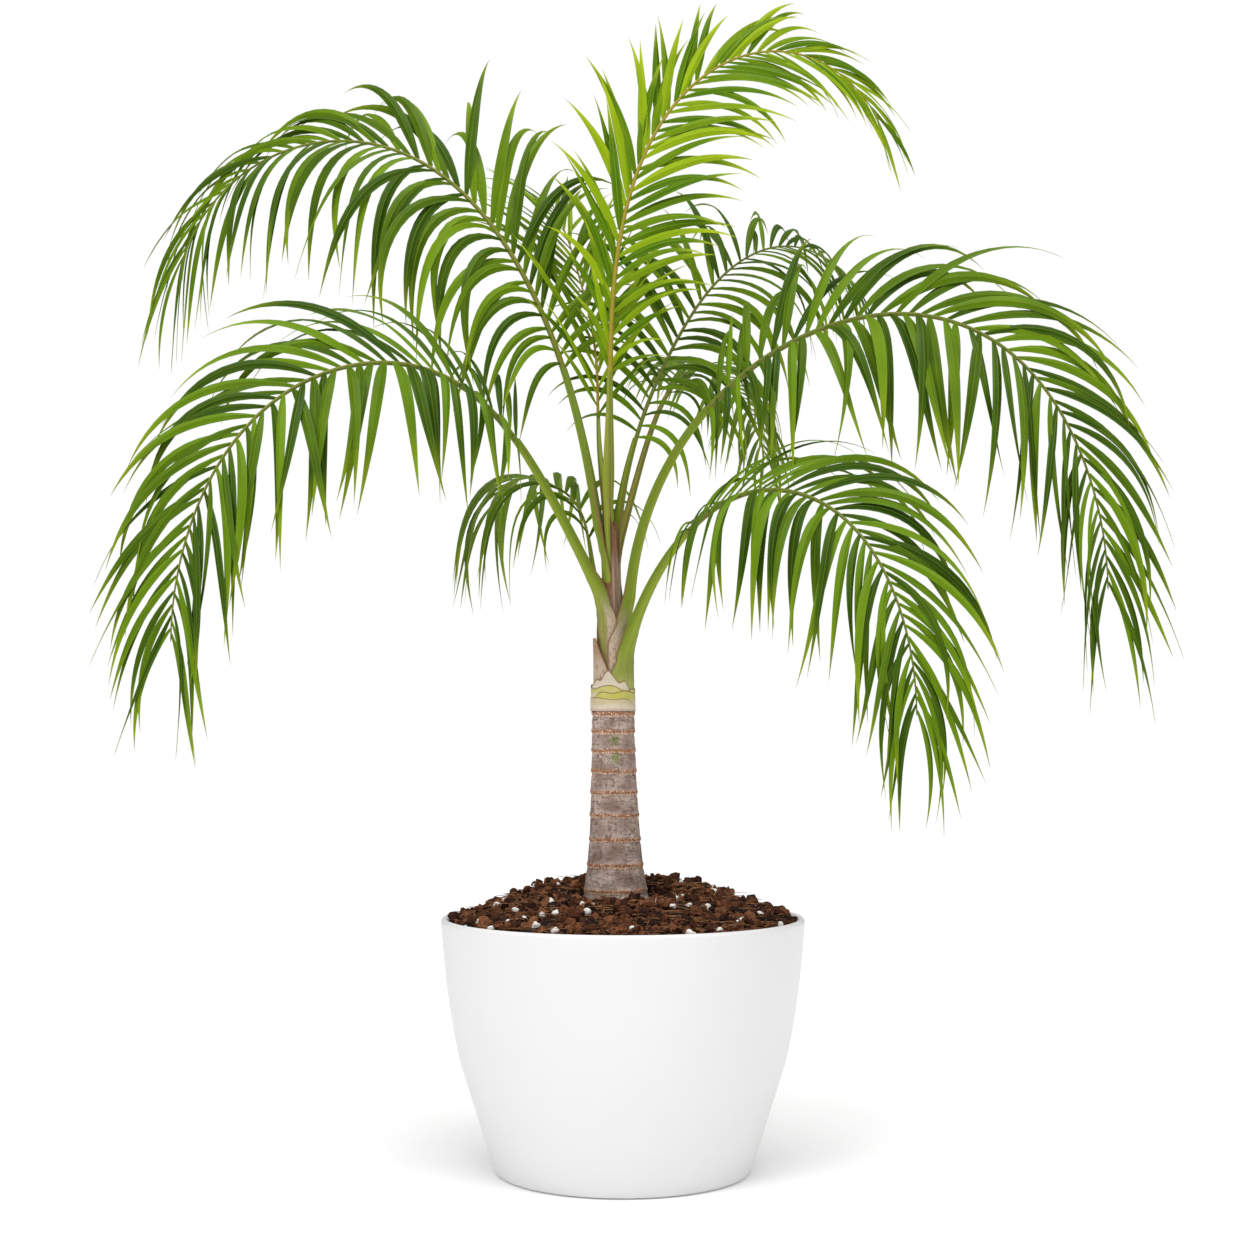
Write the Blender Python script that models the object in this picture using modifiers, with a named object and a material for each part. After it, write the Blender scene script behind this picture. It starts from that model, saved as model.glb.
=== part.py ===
"""A young queen palm in a round white planter, stood on the underside of the planter.

Metres, +Z up, +X to the right and -Y to the front. The origin is the centre of the planter's underside.
"""

import math
from dataclasses import dataclass

import bmesh
import bpy
import numpy as np
from mathutils import kdtree

# Clearances
GAP = 0.0003
SOIL_SIDE_GAP = 0.0005

# Planter
RIM_HEIGHT = 0.344
RIM_RADIUS = 0.250
RIM_ROUND = 0.004
WALL = 0.010
FLOOR = 0.012
POT_SIDES = 36
POT_OUTLINE = (
    (0.338, 0.2500),
    (0.277, 0.2445),
    (0.219, 0.2370),
    (0.156, 0.2247),
    (0.100, 0.2070),
    (0.053, 0.1920),
    (0.016, 0.1805),
    (0.004, 0.1750),
    (0.000, 0.1700),
)

# Soil
SOIL_EDGE_HEIGHT = 0.336
SEAT_HEIGHT = 0.3620
SEAT_RADIUS = 0.0605
MOUND_HEIGHT = 0.371
MOUND_RADIUS = 0.080
CLOD = 0.0045

# Trunk
TRUNK_FOOT = SEAT_HEIGHT + GAP
TRUNK_TOP = 0.6520
TRUNK_SIDES = 18
TRUNK_TAPER = (
    (0.3600, 0.0480),
    (0.3700, 0.0455),
    (0.3810, 0.0432),
    (0.4150, 0.0386),
    (0.4530, 0.0350),
    (0.5140, 0.0319),
    (0.5720, 0.0300),
    (0.6230, 0.0294),
    (0.6600, 0.0296),
)
RING_HEIGHTS = (0.3802, 0.4151, 0.4502, 0.4833, 0.5142, 0.5437, 0.5722, 0.5987, 0.6231, 0.6390)
RING_HALF = 0.0016
RING_OUT = 0.0008
RING_IN = 0.0005

# Leaf bases, nested one inside the other round the stem
BASE_FOOT = TRUNK_TOP + GAP
BASE_WALL = 0.0020
BASE_EDGE = 0.0010
BASE_WRAP = 90.0
BASE_TAPER = 0.085
BASE_SWELL = 0.035
BASE_FACETS = 6
FILLET = 0.022
STALK_SETTLE = 0.050
CORE_RADIUS = 0.0071
CORE_SWELL_FROM = 0.900
CORE_SWELL_TO = 0.965

# Ribs and leaflets
RIB_START = 0.0058
RIB_TIP = 0.0015
RIB_STEP = 0.060
RIB_END_SIDE = 0.004
RIB_STATIONS = 240
LEAF_STEPS = 12
LEAF_KNOTS = (0, 4, 8, 12)
LEAF_THICKNESS = 0.0115
LEAF_WIDEN = 0.30
BEND_ROOM = 0.007
SHORTEST_SHARE = 0.45
LEAF_HALF_THICK = 0.0038
LEAF_SAMPLE = 0.008

UP = np.array([0.0, 0.0, 1.0])


@dataclass(frozen=True)
class Frond:
    """One leaf of the palm: where it leaves the stem, how its rib arches and how its leaflets lie.

    turn is the compass angle of the rib's plane in degrees, from +X towards +Y. leans holds the rib's
    angle from upright at five even stations. spread_far and spread_near are the angles between leaflet
    and rib at the foot, the middle and the tip of the blade, for the side away from the front and the
    side towards it. roll turns the blade about its rib, rise lifts both sides to a V, and limp says how
    far a leaflet gives way to its own weight.
    """

    place: str
    turn: float
    layer: float
    leave_height: float
    length: float
    leans: tuple
    stalk: float
    bend: float
    stalk_width: float
    stalk_depth: float
    pairs: int
    leaf: float
    leaf_width: float
    roll: float
    rise: float
    limp: float
    spread_far: tuple
    spread_near: tuple


FRONDS = (
    Frond(
        place="lower_right",
        turn=-46,
        layer=0.0278,
        leave_height=0.717,
        length=0.753,
        leans=(22, 54, 102, 147, 180),
        stalk=0.25,
        bend=0.56,
        stalk_width=0.017,
        stalk_depth=0.0110,
        pairs=20,
        leaf=0.250,
        leaf_width=0.015,
        roll=32,
        rise=24,
        limp=1.6,
        spread_far=(60, 45, 26),
        spread_near=(74, 57, 32),
    ),
    Frond(
        place="upper_right",
        turn=-20,
        layer=0.0228,
        leave_height=0.769,
        length=1.103,
        leans=(2, 40, 84, 145, 180),
        stalk=0.27,
        bend=0.56,
        stalk_width=0.019,
        stalk_depth=0.0110,
        pairs=24,
        leaf=0.295,
        leaf_width=0.017,
        roll=42,
        rise=24,
        limp=1.4,
        spread_far=(62, 48, 32),
        spread_near=(78, 62, 36),
    ),
    Frond(
        place="back_left",
        turn=130,
        layer=0.0203,
        leave_height=0.777,
        length=0.380,
        leans=(23, 14, 61, 83, 144),
        stalk=0.25,
        bend=0.60,
        stalk_width=0.009,
        stalk_depth=0.0080,
        pairs=11,
        leaf=0.240,
        leaf_width=0.012,
        roll=0,
        rise=25,
        limp=2.2,
        spread_far=(62, 50, 30),
        spread_near=(72, 56, 30),
    ),
    Frond(
        place="lower_left",
        turn=-150,
        layer=0.0178,
        leave_height=0.795,
        length=0.965,
        leans=(28, 41, 101, 148, 180),
        stalk=0.24,
        bend=0.55,
        stalk_width=0.018,
        stalk_depth=0.0110,
        pairs=23,
        leaf=0.285,
        leaf_width=0.016,
        roll=36,
        rise=26,
        limp=1.5,
        spread_far=(62, 48, 30),
        spread_near=(78, 62, 34),
    ),
    Frond(
        place="back_right_low",
        turn=70,
        layer=0.0153,
        leave_height=0.834,
        length=0.943,
        leans=(34, 40, 69, 98, 134),
        stalk=0.38,
        bend=0.70,
        stalk_width=0.011,
        stalk_depth=0.0080,
        pairs=16,
        leaf=0.200,
        leaf_width=0.013,
        roll=10,
        rise=25,
        limp=1.7,
        spread_far=(62, 46, 24),
        spread_near=(74, 58, 30),
    ),
    Frond(
        place="back_right",
        turn=45,
        layer=0.0128,
        leave_height=0.881,
        length=0.790,
        leans=(9, 27, 42, 72, 120),
        stalk=0.17,
        bend=0.62,
        stalk_width=0.013,
        stalk_depth=0.0080,
        pairs=17,
        leaf=0.235,
        leaf_width=0.014,
        roll=40,
        rise=22,
        limp=1.3,
        spread_far=(60, 46, 28),
        spread_near=(76, 58, 32),
    ),
    Frond(
        place="upper_left",
        turn=166,
        layer=0.0103,
        leave_height=0.872,
        length=1.090,
        leans=(7, 20, 45, 98, 163),
        stalk=0.22,
        bend=0.58,
        stalk_width=0.018,
        stalk_depth=0.0110,
        pairs=24,
        leaf=0.290,
        leaf_width=0.017,
        roll=48,
        rise=22,
        limp=1.7,
        spread_far=(62, 48, 30),
        spread_near=(80, 66, 42),
    ),
    Frond(
        place="back_young",
        turn=112,
        layer=0.0080,
        leave_height=0.932,
        length=0.533,
        leans=(27, 2, 28, 36, 49),
        stalk=0.22,
        bend=0.62,
        stalk_width=0.009,
        stalk_depth=0.0070,
        pairs=12,
        leaf=0.220,
        leaf_width=0.010,
        roll=0,
        rise=20,
        limp=0.5,
        spread_far=(30, 26, 20),
        spread_near=(34, 28, 20),
    ),
    Frond(
        place="top",
        turn=26,
        layer=0.0000,
        leave_height=0.928,
        length=1.000,
        leans=(1, 3, 25, 70, 145),
        stalk=0.17,
        bend=0.60,
        stalk_width=0.017,
        stalk_depth=0.0170,
        pairs=22,
        leaf=0.225,
        leaf_width=0.015,
        roll=62,
        rise=20,
        limp=1.0,
        spread_far=(26, 27, 22),
        spread_near=(54, 46, 26),
    ),
)

# The dead leaf base low on the left, whose stalk is gone
OLD_BASE_TURN = -170
OLD_BASE_LAYER = 0.0253
OLD_BASE_TOP = 0.728
OLD_BASE_WRAP = 95.0
OLD_BASE_TIP_WRAP = 16.0


@dataclass(frozen=True)
class Finish:
    """A material of the CAD model."""

    name: str
    colour: tuple
    roughness: float


WHITE_PLASTIC = Finish("white_plastic", (0.86, 0.86, 0.85), 0.35)
DARK_SOIL = Finish("dark_soil", (0.06, 0.03, 0.02), 0.95)
GREY_BARK = Finish("grey_bark", (0.36, 0.30, 0.25), 0.85)
GREEN_BASE = Finish("green_base", (0.30, 0.36, 0.08), 0.50)
DRY_BASE = Finish("dry_base", (0.48, 0.40, 0.28), 0.80)
OLD_LEAF = Finish("old_leaf", (0.05, 0.16, 0.02), 0.45)
YOUNG_LEAF = Finish("young_leaf", (0.22, 0.38, 0.03), 0.45)


def material(finish, node_name):
    """Makes the node's own material."""
    made = bpy.data.materials.new(f"{finish.name}_{node_name}")
    made.use_nodes = True
    shader = made.node_tree.nodes["Principled BSDF"]
    shader.inputs["Base Color"].default_value = (*finish.colour, 1.0)
    shader.inputs["Roughness"].default_value = finish.roughness
    return made


def clear_scene():
    for old in list(bpy.data.objects):
        bpy.data.objects.remove(old)


def smooth(share):
    share = min(max(share, 0.0), 1.0)
    return share * share * (3.0 - 2.0 * share)


def blend(low, high, share):
    return low + (high - low) * share


def unit(vector):
    return vector / np.linalg.norm(vector)


def table(rows, x):
    xs = [row[0] for row in rows]
    ys = [row[1] for row in rows]
    if xs[0] > xs[-1]:
        xs.reverse()
        ys.reverse()
    return float(np.interp(x, xs, ys))


def add_object(name, mesh, collection, finish=None):
    obj = bpy.data.objects.new(name, mesh)
    collection.objects.link(obj)
    if finish:
        mesh.materials.append(material(finish, name))
    return obj


def mesh_from_loft(name, sections, tip=None):
    """Joins rings of equally many points across the shorter diagonals, and closes both ends."""
    mesh = bpy.data.meshes.new(name)
    shape = bmesh.new()
    rings = [[shape.verts.new(point) for point in section] for section in sections]
    count = len(rings[0])
    for lower, upper in zip(rings, rings[1:]):
        for i in range(count):
            j = (i + 1) % count
            if (lower[i].co - upper[j].co).length < (lower[j].co - upper[i].co).length:
                shape.faces.new((lower[i], lower[j], upper[j]))
                shape.faces.new((lower[i], upper[j], upper[i]))
            else:
                shape.faces.new((lower[i], lower[j], upper[i]))
                shape.faces.new((lower[j], upper[j], upper[i]))
    shape.faces.new(list(reversed(rings[0])))
    if tip is None:
        shape.faces.new(rings[-1])
    else:
        end = shape.verts.new(tip)
        for i in range(count):
            shape.faces.new((rings[-1][i], rings[-1][(i + 1) % count], end))
    bmesh.ops.recalc_face_normals(shape, faces=shape.faces)
    shape.to_mesh(mesh)
    shape.free()
    return mesh


def apply_modifier(obj, modifier):
    bpy.ops.object.select_all(action="DESELECT")
    obj.select_set(True)
    bpy.context.view_layer.objects.active = obj
    bpy.ops.object.modifier_apply(modifier=modifier.name)


def turned(name, profile, sides, collection, finish):
    """Revolves a profile, given from axis to axis and down its outer side, about Z."""
    mesh = bpy.data.meshes.new(name)
    edges = [(i, i + 1) for i in range(len(profile) - 1)]
    mesh.from_pydata([(radius, 0.0, height) for radius, height in profile], edges, [])
    obj = add_object(name, mesh, collection, finish)
    screw = obj.modifiers.new("turn", "SCREW")
    screw.steps = sides
    screw.render_steps = sides
    screw.use_merge_vertices = True
    screw.merge_threshold = 0.00001
    apply_modifier(obj, screw)
    return obj


def tube(name, points, radii, collection, finish=None):
    """A round bar along points, with a radius at each, as a closed mesh."""
    curve = bpy.data.curves.new(name, "CURVE")
    curve.dimensions = "3D"
    curve.bevel_depth = 1.0
    curve.bevel_resolution = 1
    curve.use_fill_caps = True
    spline = curve.splines.new("POLY")
    spline.points.add(len(points) - 1)
    for knot, point, radius in zip(spline.points, points, radii):
        knot.co = (*point, 1.0)
        knot.radius = radius
    guide = bpy.data.objects.new(name, curve)
    collection.objects.link(guide)
    bpy.context.view_layer.update()
    mesh = bpy.data.meshes.new_from_object(guide)
    bpy.data.objects.remove(guide)
    shape = bmesh.new()
    shape.from_mesh(mesh)
    bmesh.ops.remove_doubles(shape, verts=shape.verts, dist=0.00001)
    bmesh.ops.recalc_face_normals(shape, faces=shape.faces)
    shape.to_mesh(mesh)
    shape.free()
    return add_object(name, mesh, collection, finish)


def pot_radius(height):
    return table(POT_OUTLINE, height)


def make_pot(collection):
    inner_floor = pot_radius(FLOOR) - WALL
    profile = [(0.0, FLOOR), (inner_floor - 0.010, FLOOR), (inner_floor, FLOOR + 0.010)]
    for height in (0.053, 0.100, 0.156, 0.219, 0.277, SOIL_EDGE_HEIGHT):
        profile.append((pot_radius(height) - WALL, height))
    middle = RIM_RADIUS - RIM_ROUND
    profile.append((RIM_RADIUS - WALL + 0.0015, RIM_HEIGHT - 0.0015))
    profile.append((RIM_RADIUS - WALL + 0.0040, RIM_HEIGHT))
    profile.append((middle, RIM_HEIGHT))
    profile.append((middle + RIM_ROUND * 0.7, RIM_HEIGHT - RIM_ROUND * 0.3))
    profile += [(radius, height) for height, radius in POT_OUTLINE]
    profile.append((0.0, 0.0))
    return turned("pot", profile, POT_SIDES, collection, WHITE_PLASTIC)


def soil_surface(radius):
    """Height of the smooth mound at a distance from the planter's axis."""
    edge = pot_radius(SOIL_EDGE_HEIGHT) - WALL - SOIL_SIDE_GAP
    share = (radius - MOUND_RADIUS) / (edge - MOUND_RADIUS)
    return blend(MOUND_HEIGHT, SOIL_EDGE_HEIGHT, smooth(share * 0.9) / smooth(0.9))


def make_soil(collection):
    clear_floor = FLOOR + GAP
    floor_edge = pot_radius(FLOOR) - WALL - 0.010 - SOIL_SIDE_GAP
    outline = [(0.0, SEAT_HEIGHT), (SEAT_RADIUS, SEAT_HEIGHT)]
    edge = pot_radius(SOIL_EDGE_HEIGHT) - WALL - SOIL_SIDE_GAP
    for radius in np.linspace(MOUND_RADIUS, edge, 5):
        outline.append((float(radius), soil_surface(float(radius))))
    for height in (0.219, 0.100):
        outline.append((pot_radius(height) - WALL - SOIL_SIDE_GAP, height))
    outline.append((floor_edge + 0.010, clear_floor + 0.010))
    outline.append((floor_edge, clear_floor))
    outline.append((0.0, clear_floor))
    soil = turned("soil", outline, POT_SIDES, collection, DARK_SOIL)
    chance = np.random.default_rng(41)
    for vert in soil.data.vertices:
        reach = math.hypot(vert.co.x, vert.co.y)
        on_top = vert.co.z > SOIL_EDGE_HEIGHT + 0.001
        if on_top and reach > SEAT_RADIUS + 0.002:
            vert.co.z += chance.uniform(-CLOD, CLOD)
    return soil


def stem_x(height):
    """The stem leans a little to the left as it rises."""
    return -0.0100 - 0.0040 * min(max((height - 0.36) / 0.28, 0.0), 1.0) - 0.030 * max(height - 0.70, 0.0)


def make_trunk(collection):
    profile = [(0.0, TRUNK_TOP), (table(TRUNK_TAPER, TRUNK_TOP), TRUNK_TOP)]
    for ring, below in zip(reversed(RING_HEIGHTS), list(reversed(RING_HEIGHTS))[1:] + [TRUNK_FOOT]):
        radius = table(TRUNK_TAPER, ring)
        profile.append((radius + RING_OUT, ring + RING_HALF))
        profile.append((radius - RING_IN, ring - RING_HALF))
        middle = (ring + below) / 2
        profile.append((table(TRUNK_TAPER, middle), middle))
    profile.append((table(TRUNK_TAPER, TRUNK_FOOT), TRUNK_FOOT))
    profile.append((0.0, TRUNK_FOOT))
    trunk = turned("trunk", profile, TRUNK_SIDES, collection, GREY_BARK)
    for vert in trunk.data.vertices:
        vert.co.x += stem_x(vert.co.z)
    return trunk


def lean_at(frond, share):
    """The rib's lean in degrees, a smooth curve through the five given ones."""
    leans = frond.leans
    spans = len(leans) - 1
    index = min(int(share * spans), spans - 1)
    t = share * spans - index
    slopes = [leans[1] - leans[0]]
    slopes += [(leans[i + 1] - leans[i - 1]) / 2 for i in range(1, spans)]
    slopes.append(leans[-1] - leans[-2])
    start = (2 * t**3 - 3 * t**2 + 1) * leans[index] + (t**3 - 2 * t**2 + t) * slopes[index]
    end = (3 * t**2 - 2 * t**3) * leans[index + 1] + (t**3 - t**2) * slopes[index + 1]
    return start + end


class Plane:
    """An upright plane through the stem, with the level directions along it and square to it."""

    def __init__(self, turn):
        angle = math.radians(turn)
        self.out = np.array([math.cos(angle), math.sin(angle), 0.0])
        self.side = np.array([math.sin(angle), -math.cos(angle), 0.0])


class Rib(Plane):
    """The centre line of one frond in its upright plane."""

    def __init__(self, frond):
        super().__init__(frond.turn)
        self.frond = frond
        reach = frond.layer + frond.stalk_depth / 2
        if frond.layer == 0.0:
            reach = 0.0
        height = frond.leave_height
        start = np.array([stem_x(height), 0.0, height]) + self.out * reach
        self.points = [start]
        self.ways = []
        step = frond.length / RIB_STATIONS
        for i in range(RIB_STATIONS):
            lean = math.radians(lean_at(frond, (i + 0.5) / RIB_STATIONS))
            way = math.sin(lean) * self.out + math.cos(lean) * UP
            self.ways.append(way)
            self.points.append(self.points[-1] + way * step)
        self.ways.append(self.ways[-1])

    def at(self, distance):
        """Point and direction at a distance along the rib."""
        place = min(max(distance / self.frond.length, 0.0), 1.0) * RIB_STATIONS
        index = min(int(place), RIB_STATIONS - 1)
        point = self.points[index] + (self.points[index + 1] - self.points[index]) * (place - index)
        return point, self.ways[index]

    def radius(self, distance):
        """Radius of the rib's blade part."""
        share = (distance / self.frond.length - self.frond.stalk) / (1 - self.frond.stalk)
        start = RIB_START * self.frond.stalk_width / 0.018
        return blend(start, RIB_TIP, min(max(share, 0.0), 1.0) ** 0.8)


def crescent(centre, way, plane, bend_radius, half_wrap, depth):
    """A section that is hollow towards the stem and round on its outer side."""
    outward = unit(np.cross(way, plane.side)) * -1.0
    if outward @ plane.out < 0 and way[2] > 0:
        outward = -outward
    inner = []
    outer = []
    shift = depth / 2
    flat = bend_radius / math.cos(half_wrap / BASE_FACETS)
    for i in range(BASE_FACETS + 1):
        share = 2.0 * i / BASE_FACETS - 1.0
        turn = share * half_wrap
        thick = BASE_EDGE + (depth - BASE_EDGE) * math.sqrt(max(1.0 - share * share, 0.0))
        for row, reach in ((inner, flat), (outer, bend_radius + thick)):
            across = reach * math.sin(turn)
            along = reach * math.cos(turn) - bend_radius - shift
            row.append(centre + plane.side * across + outward * along)
    return inner + outer[::-1]


def make_base(frond, rib, collection):
    """The sheath that wraps the stem, and the stalk up to the first leaflet."""
    sections = []
    leave = frond.leave_height
    half_width = frond.stalk_width / 2
    heights = [BASE_FOOT]
    for below in (BASE_TAPER, 0.062, 0.042, FILLET):
        if leave - below > BASE_FOOT + 0.008:
            heights.append(leave - below)
    for height in heights:
        narrow = smooth((height - leave + BASE_TAPER) / BASE_TAPER)
        swell = smooth((height - leave + BASE_SWELL) / BASE_SWELL)
        depth = blend(BASE_WALL, frond.stalk_depth, swell)
        wrap = blend(math.radians(BASE_WRAP), half_width * 1.35 / frond.layer, narrow)
        centre = np.array([stem_x(height), 0.0, height]) + rib.out * (frond.layer + depth / 2)
        sections.append(crescent(centre, UP, rib, frond.layer, wrap, depth))
    corner, _ = rib.at(0.0)
    beyond, way = rib.at(FILLET)
    below_corner = corner - UP * FILLET
    halfway = below_corner * 0.25 + corner * 0.5 + beyond * 0.25
    stations = [(halfway, unit(way + UP), 0.0)]
    stalk_end = frond.stalk * frond.length - GAP
    count = max(3, round((stalk_end - FILLET) / RIB_STEP))
    for i in range(count + 1):
        distance = FILLET + (stalk_end - FILLET) * i / count
        point, way = rib.at(distance)
        stations.append((point, way, distance))
    for point, way, distance in stations:
        settle = smooth(distance / STALK_SETTLE)
        end = distance / stalk_end
        half = blend(half_width * 1.25, blend(half_width, rib.radius(stalk_end), end), settle)
        depth = blend(frond.stalk_depth, rib.radius(stalk_end) * 2, end)
        bend_radius = blend(frond.layer, max(3.0 * half_width, frond.layer), 0.4 + 0.6 * settle)
        sections.append(crescent(point, way, rib, bend_radius, half / bend_radius, depth))
    name = f"leaf_base_{frond.place}"
    return add_object(name, mesh_from_loft(name, sections), collection, GREEN_BASE)


def make_core(frond, rib, collection):
    """The innermost leaf: a rolled stem that becomes the stalk of the top frond."""
    points = []
    radii = []
    for height in (BASE_FOOT, 0.76, 0.86, CORE_SWELL_FROM):
        points.append(np.array([stem_x(height), 0.0, height]))
        radii.append(CORE_RADIUS)
    stalk_end = frond.stalk * frond.length - GAP
    for distance in (0.010, 0.040, 0.080, 0.120, stalk_end):
        point, _ = rib.at(distance)
        share = smooth((point[2] - CORE_SWELL_FROM) / (CORE_SWELL_TO - CORE_SWELL_FROM))
        radius = blend(CORE_RADIUS, frond.stalk_width / 2, share)
        points.append(point)
        radii.append(blend(radius, rib.radius(stalk_end), smooth(distance / stalk_end)))
    return tube(f"leaf_base_{frond.place}", points, radii, collection, GREEN_BASE)


def make_old_base(collection):
    plane = Plane(OLD_BASE_TURN)
    sections = []
    for share in (0.0, 0.2, 0.4, 0.6, 0.8, 1.0):
        height = blend(BASE_FOOT, OLD_BASE_TOP, share)
        wrap = math.radians(blend(OLD_BASE_WRAP, OLD_BASE_TIP_WRAP, share**1.15))
        reach = OLD_BASE_LAYER + BASE_WALL / 2
        centre = np.array([stem_x(height), 0.0, height]) + plane.out * reach
        sections.append(crescent(centre, UP, plane, OLD_BASE_LAYER, wrap, BASE_WALL))
    name = "leaf_base_old"
    return add_object(name, mesh_from_loft(name, sections), collection, DRY_BASE)


@dataclass
class Leaflet:
    """One leaflet as a bent line with a width direction and a half width at each knot."""

    points: np.ndarray
    ways: np.ndarray
    widths: np.ndarray
    halves: np.ndarray
    length: float

    def cut(self, share):
        """The same leaflet, ended sooner."""
        return Leaflet(
            self.points[0] + (self.points - self.points[0]) * share,
            self.ways,
            self.widths,
            self.halves * (0.4 + 0.6 * share),
            self.length * share,
        )


def spread_at(angles, share):
    foot, middle, tip = angles
    if share < 0.5:
        return blend(foot, middle, share * 2)
    return blend(middle, tip, share * 2 - 1)


def make_leaflet(frond, rib, root, distance, side, chance):
    """Lays one leaflet by the frond's rule, from a root point on the rib."""
    share = (distance / frond.length - frond.stalk) / (1 - frond.stalk)
    _, way = rib.at(distance)
    nearer = 1.0 if rib.side[1] < 0 else -1.0
    spreads = frond.spread_near if side * nearer > 0 else frond.spread_far
    upper = np.cross(rib.side, way)
    roll = math.radians(frond.roll) * nearer
    across = math.cos(roll) * rib.side - math.sin(roll) * upper
    above = math.sin(roll) * rib.side + math.cos(roll) * upper
    spread = math.radians(spread_at(spreads, share) + chance.uniform(-4, 4))
    rise = math.radians(frond.rise * (1 - 0.5 * share) + chance.uniform(-5, 5))
    sideways = math.cos(rise) * side * across + math.sin(rise) * above
    start = math.cos(spread) * way + math.sin(spread) * sideways
    if share < 0.3:
        fullness = blend(0.5, 1.0, math.sin(share / 0.3 * math.pi / 2))
    else:
        fullness = 1.0 - 0.32 * ((share - 0.3) / 0.7) ** 2
    length = frond.leaf * fullness * chance.uniform(0.93, 1.04)
    width = frond.leaf_width * (0.6 + 0.4 * min(1.0, share * 4)) * (1 - 0.75 * max(0.0, share - 0.4))
    limp = frond.limp * chance.uniform(0.85, 1.2)
    from_down = math.acos(max(-1.0, min(1.0, -start[2])))
    level = unit(np.array([start[0], start[1], 0.0]))
    wide = unit(way - (way @ start) * start)
    points = [root]
    ways = []
    widths = []
    for i in range(LEAF_STEPS):
        bent = math.tan(from_down / 2) * math.exp(-limp * ((i + 0.5) / LEAF_STEPS) ** 1.3)
        angle = 2 * math.atan(bent)
        along = math.sin(angle) * level - math.cos(angle) * UP
        wide = unit(wide - (wide @ along) * along)
        ways.append(along)
        widths.append(wide)
        points.append(points[-1] + along * length / LEAF_STEPS)
    ways.append(ways[-1])
    widths.append(widths[-1])
    knots = list(LEAF_KNOTS)
    halves = []
    for knot in knots:
        place = knot / LEAF_STEPS
        if place < LEAF_WIDEN:
            full = 0.35 + 0.65 * math.sin(place / LEAF_WIDEN * math.pi / 2)
        else:
            full = math.cos((place - LEAF_WIDEN) / (1 - LEAF_WIDEN) * math.pi / 2) ** 0.8
        halves.append(full * width / 2)
    return Leaflet(
        np.array(points)[knots],
        np.array(ways)[knots],
        np.array(widths)[knots],
        np.array(halves),
        length,
    )


def leaflet_mesh(leaflet, number, collection):
    """A roof-shaped blade: two lower edges and a midrib above them, run out to a point."""
    sections = []
    thick = leaflet.length * LEAF_THICKNESS
    for i in range(len(leaflet.points) - 1):
        ridge = unit(np.cross(leaflet.ways[i], leaflet.widths[i]))
        if ridge[2] < 0:
            ridge = -ridge
        half = leaflet.widths[i] * leaflet.halves[i]
        point = leaflet.points[i]
        high = thick * (0.85 if i == 0 else 1.0)
        sections.append([point - half, point + half, point + ridge * high])
    mesh = mesh_from_loft("leaflet", sections, leaflet.points[-1])
    return add_object(f"leaflet_{number}", mesh, collection)


def leaflet_samples(leaflet, skip):
    """Points spread over the leaflet, leaving out its first stretch."""
    found = []
    for i in range(len(leaflet.points) - 1):
        start = leaflet.points[i]
        end = leaflet.points[i + 1]
        count = max(2, math.ceil(np.linalg.norm(end - start) / LEAF_SAMPLE))
        for share in np.arange(count) / count:
            middle = start + (end - start) * share
            if np.linalg.norm(middle - leaflet.points[0]) < skip:
                continue
            half = blend(leaflet.halves[i], leaflet.halves[i + 1], share)
            for across in (-0.7, 0.0, 0.7):
                found.append(middle + leaflet.widths[i] * half * across)
    found.append(leaflet.points[-1])
    return np.array(found)


class Space:
    """What has been placed so far, so that a leaflet can keep clear of it."""

    def __init__(self):
        self.limbs = []
        self.leaves = []
        self.tree = None

    def add_limb(self, owner, points, radii):
        for first, second, r_first, r_second in zip(points, points[1:], radii, radii[1:]):
            for share in np.linspace(0.0, 1.0, 6):
                spot = np.array(first) + (np.array(second) - np.array(first)) * share
                self.limbs.append((owner, spot, blend(r_first, r_second, share)))

    def seal(self):
        self.owners = np.array([limb[0] for limb in self.limbs])
        self.spots = np.array([limb[1] for limb in self.limbs])
        self.radii = np.array([limb[2] for limb in self.limbs])

    def add_leaves(self, leaflets):
        for leaflet in leaflets:
            self.leaves.extend(leaflet_samples(leaflet, 0.0))
        self.tree = kdtree.KDTree(len(self.leaves))
        for index, spot in enumerate(self.leaves):
            self.tree.insert(spot, index)
        self.tree.balance()

    def free(self, leaflet, owner):
        """Whether the leaflet touches nothing but its own rib."""
        samples = leaflet_samples(leaflet, 0.008)
        others = self.owners != owner
        apart = np.linalg.norm(samples[:, None, :] - self.spots[others][None, :, :], axis=2)
        if (apart < self.radii[others] + LEAF_HALF_THICK).any():
            return False
        if self.tree is None:
            return True
        reach = 2 * LEAF_HALF_THICK
        return not any(self.tree.find_range(sample, reach) for sample in samples)


def blade_pieces(frond):
    """Start and end of the two blade pieces along the rib."""
    start = frond.stalk * frond.length
    bend = frond.bend * frond.length
    return (("inner", start, bend - GAP), ("outer", bend, frond.length))


def rib_distances(start, end):
    """Stations of the straight-sided rib. A short first and last side keeps its end faces true."""
    count = max(5, round((end - start) / RIB_STEP))
    inner = [start + (end - start) * i / count for i in range(1, count)]
    return [start, start + RIB_END_SIDE, *inner, end - RIB_END_SIDE, end]


def rib_knots(rib, start, end):
    distances = rib_distances(start, end)
    points = [rib.at(distance)[0] for distance in distances]
    return points, [rib.radius(distance) for distance in distances]


def on_knots(rib, start, end, distance):
    """The point of the straight-sided rib at a distance."""
    distances = rib_distances(start, end)
    points = np.array(rib_knots(rib, start, end)[0])
    return np.array([np.interp(distance, distances, points[:, axis]) for axis in range(3)])


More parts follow.
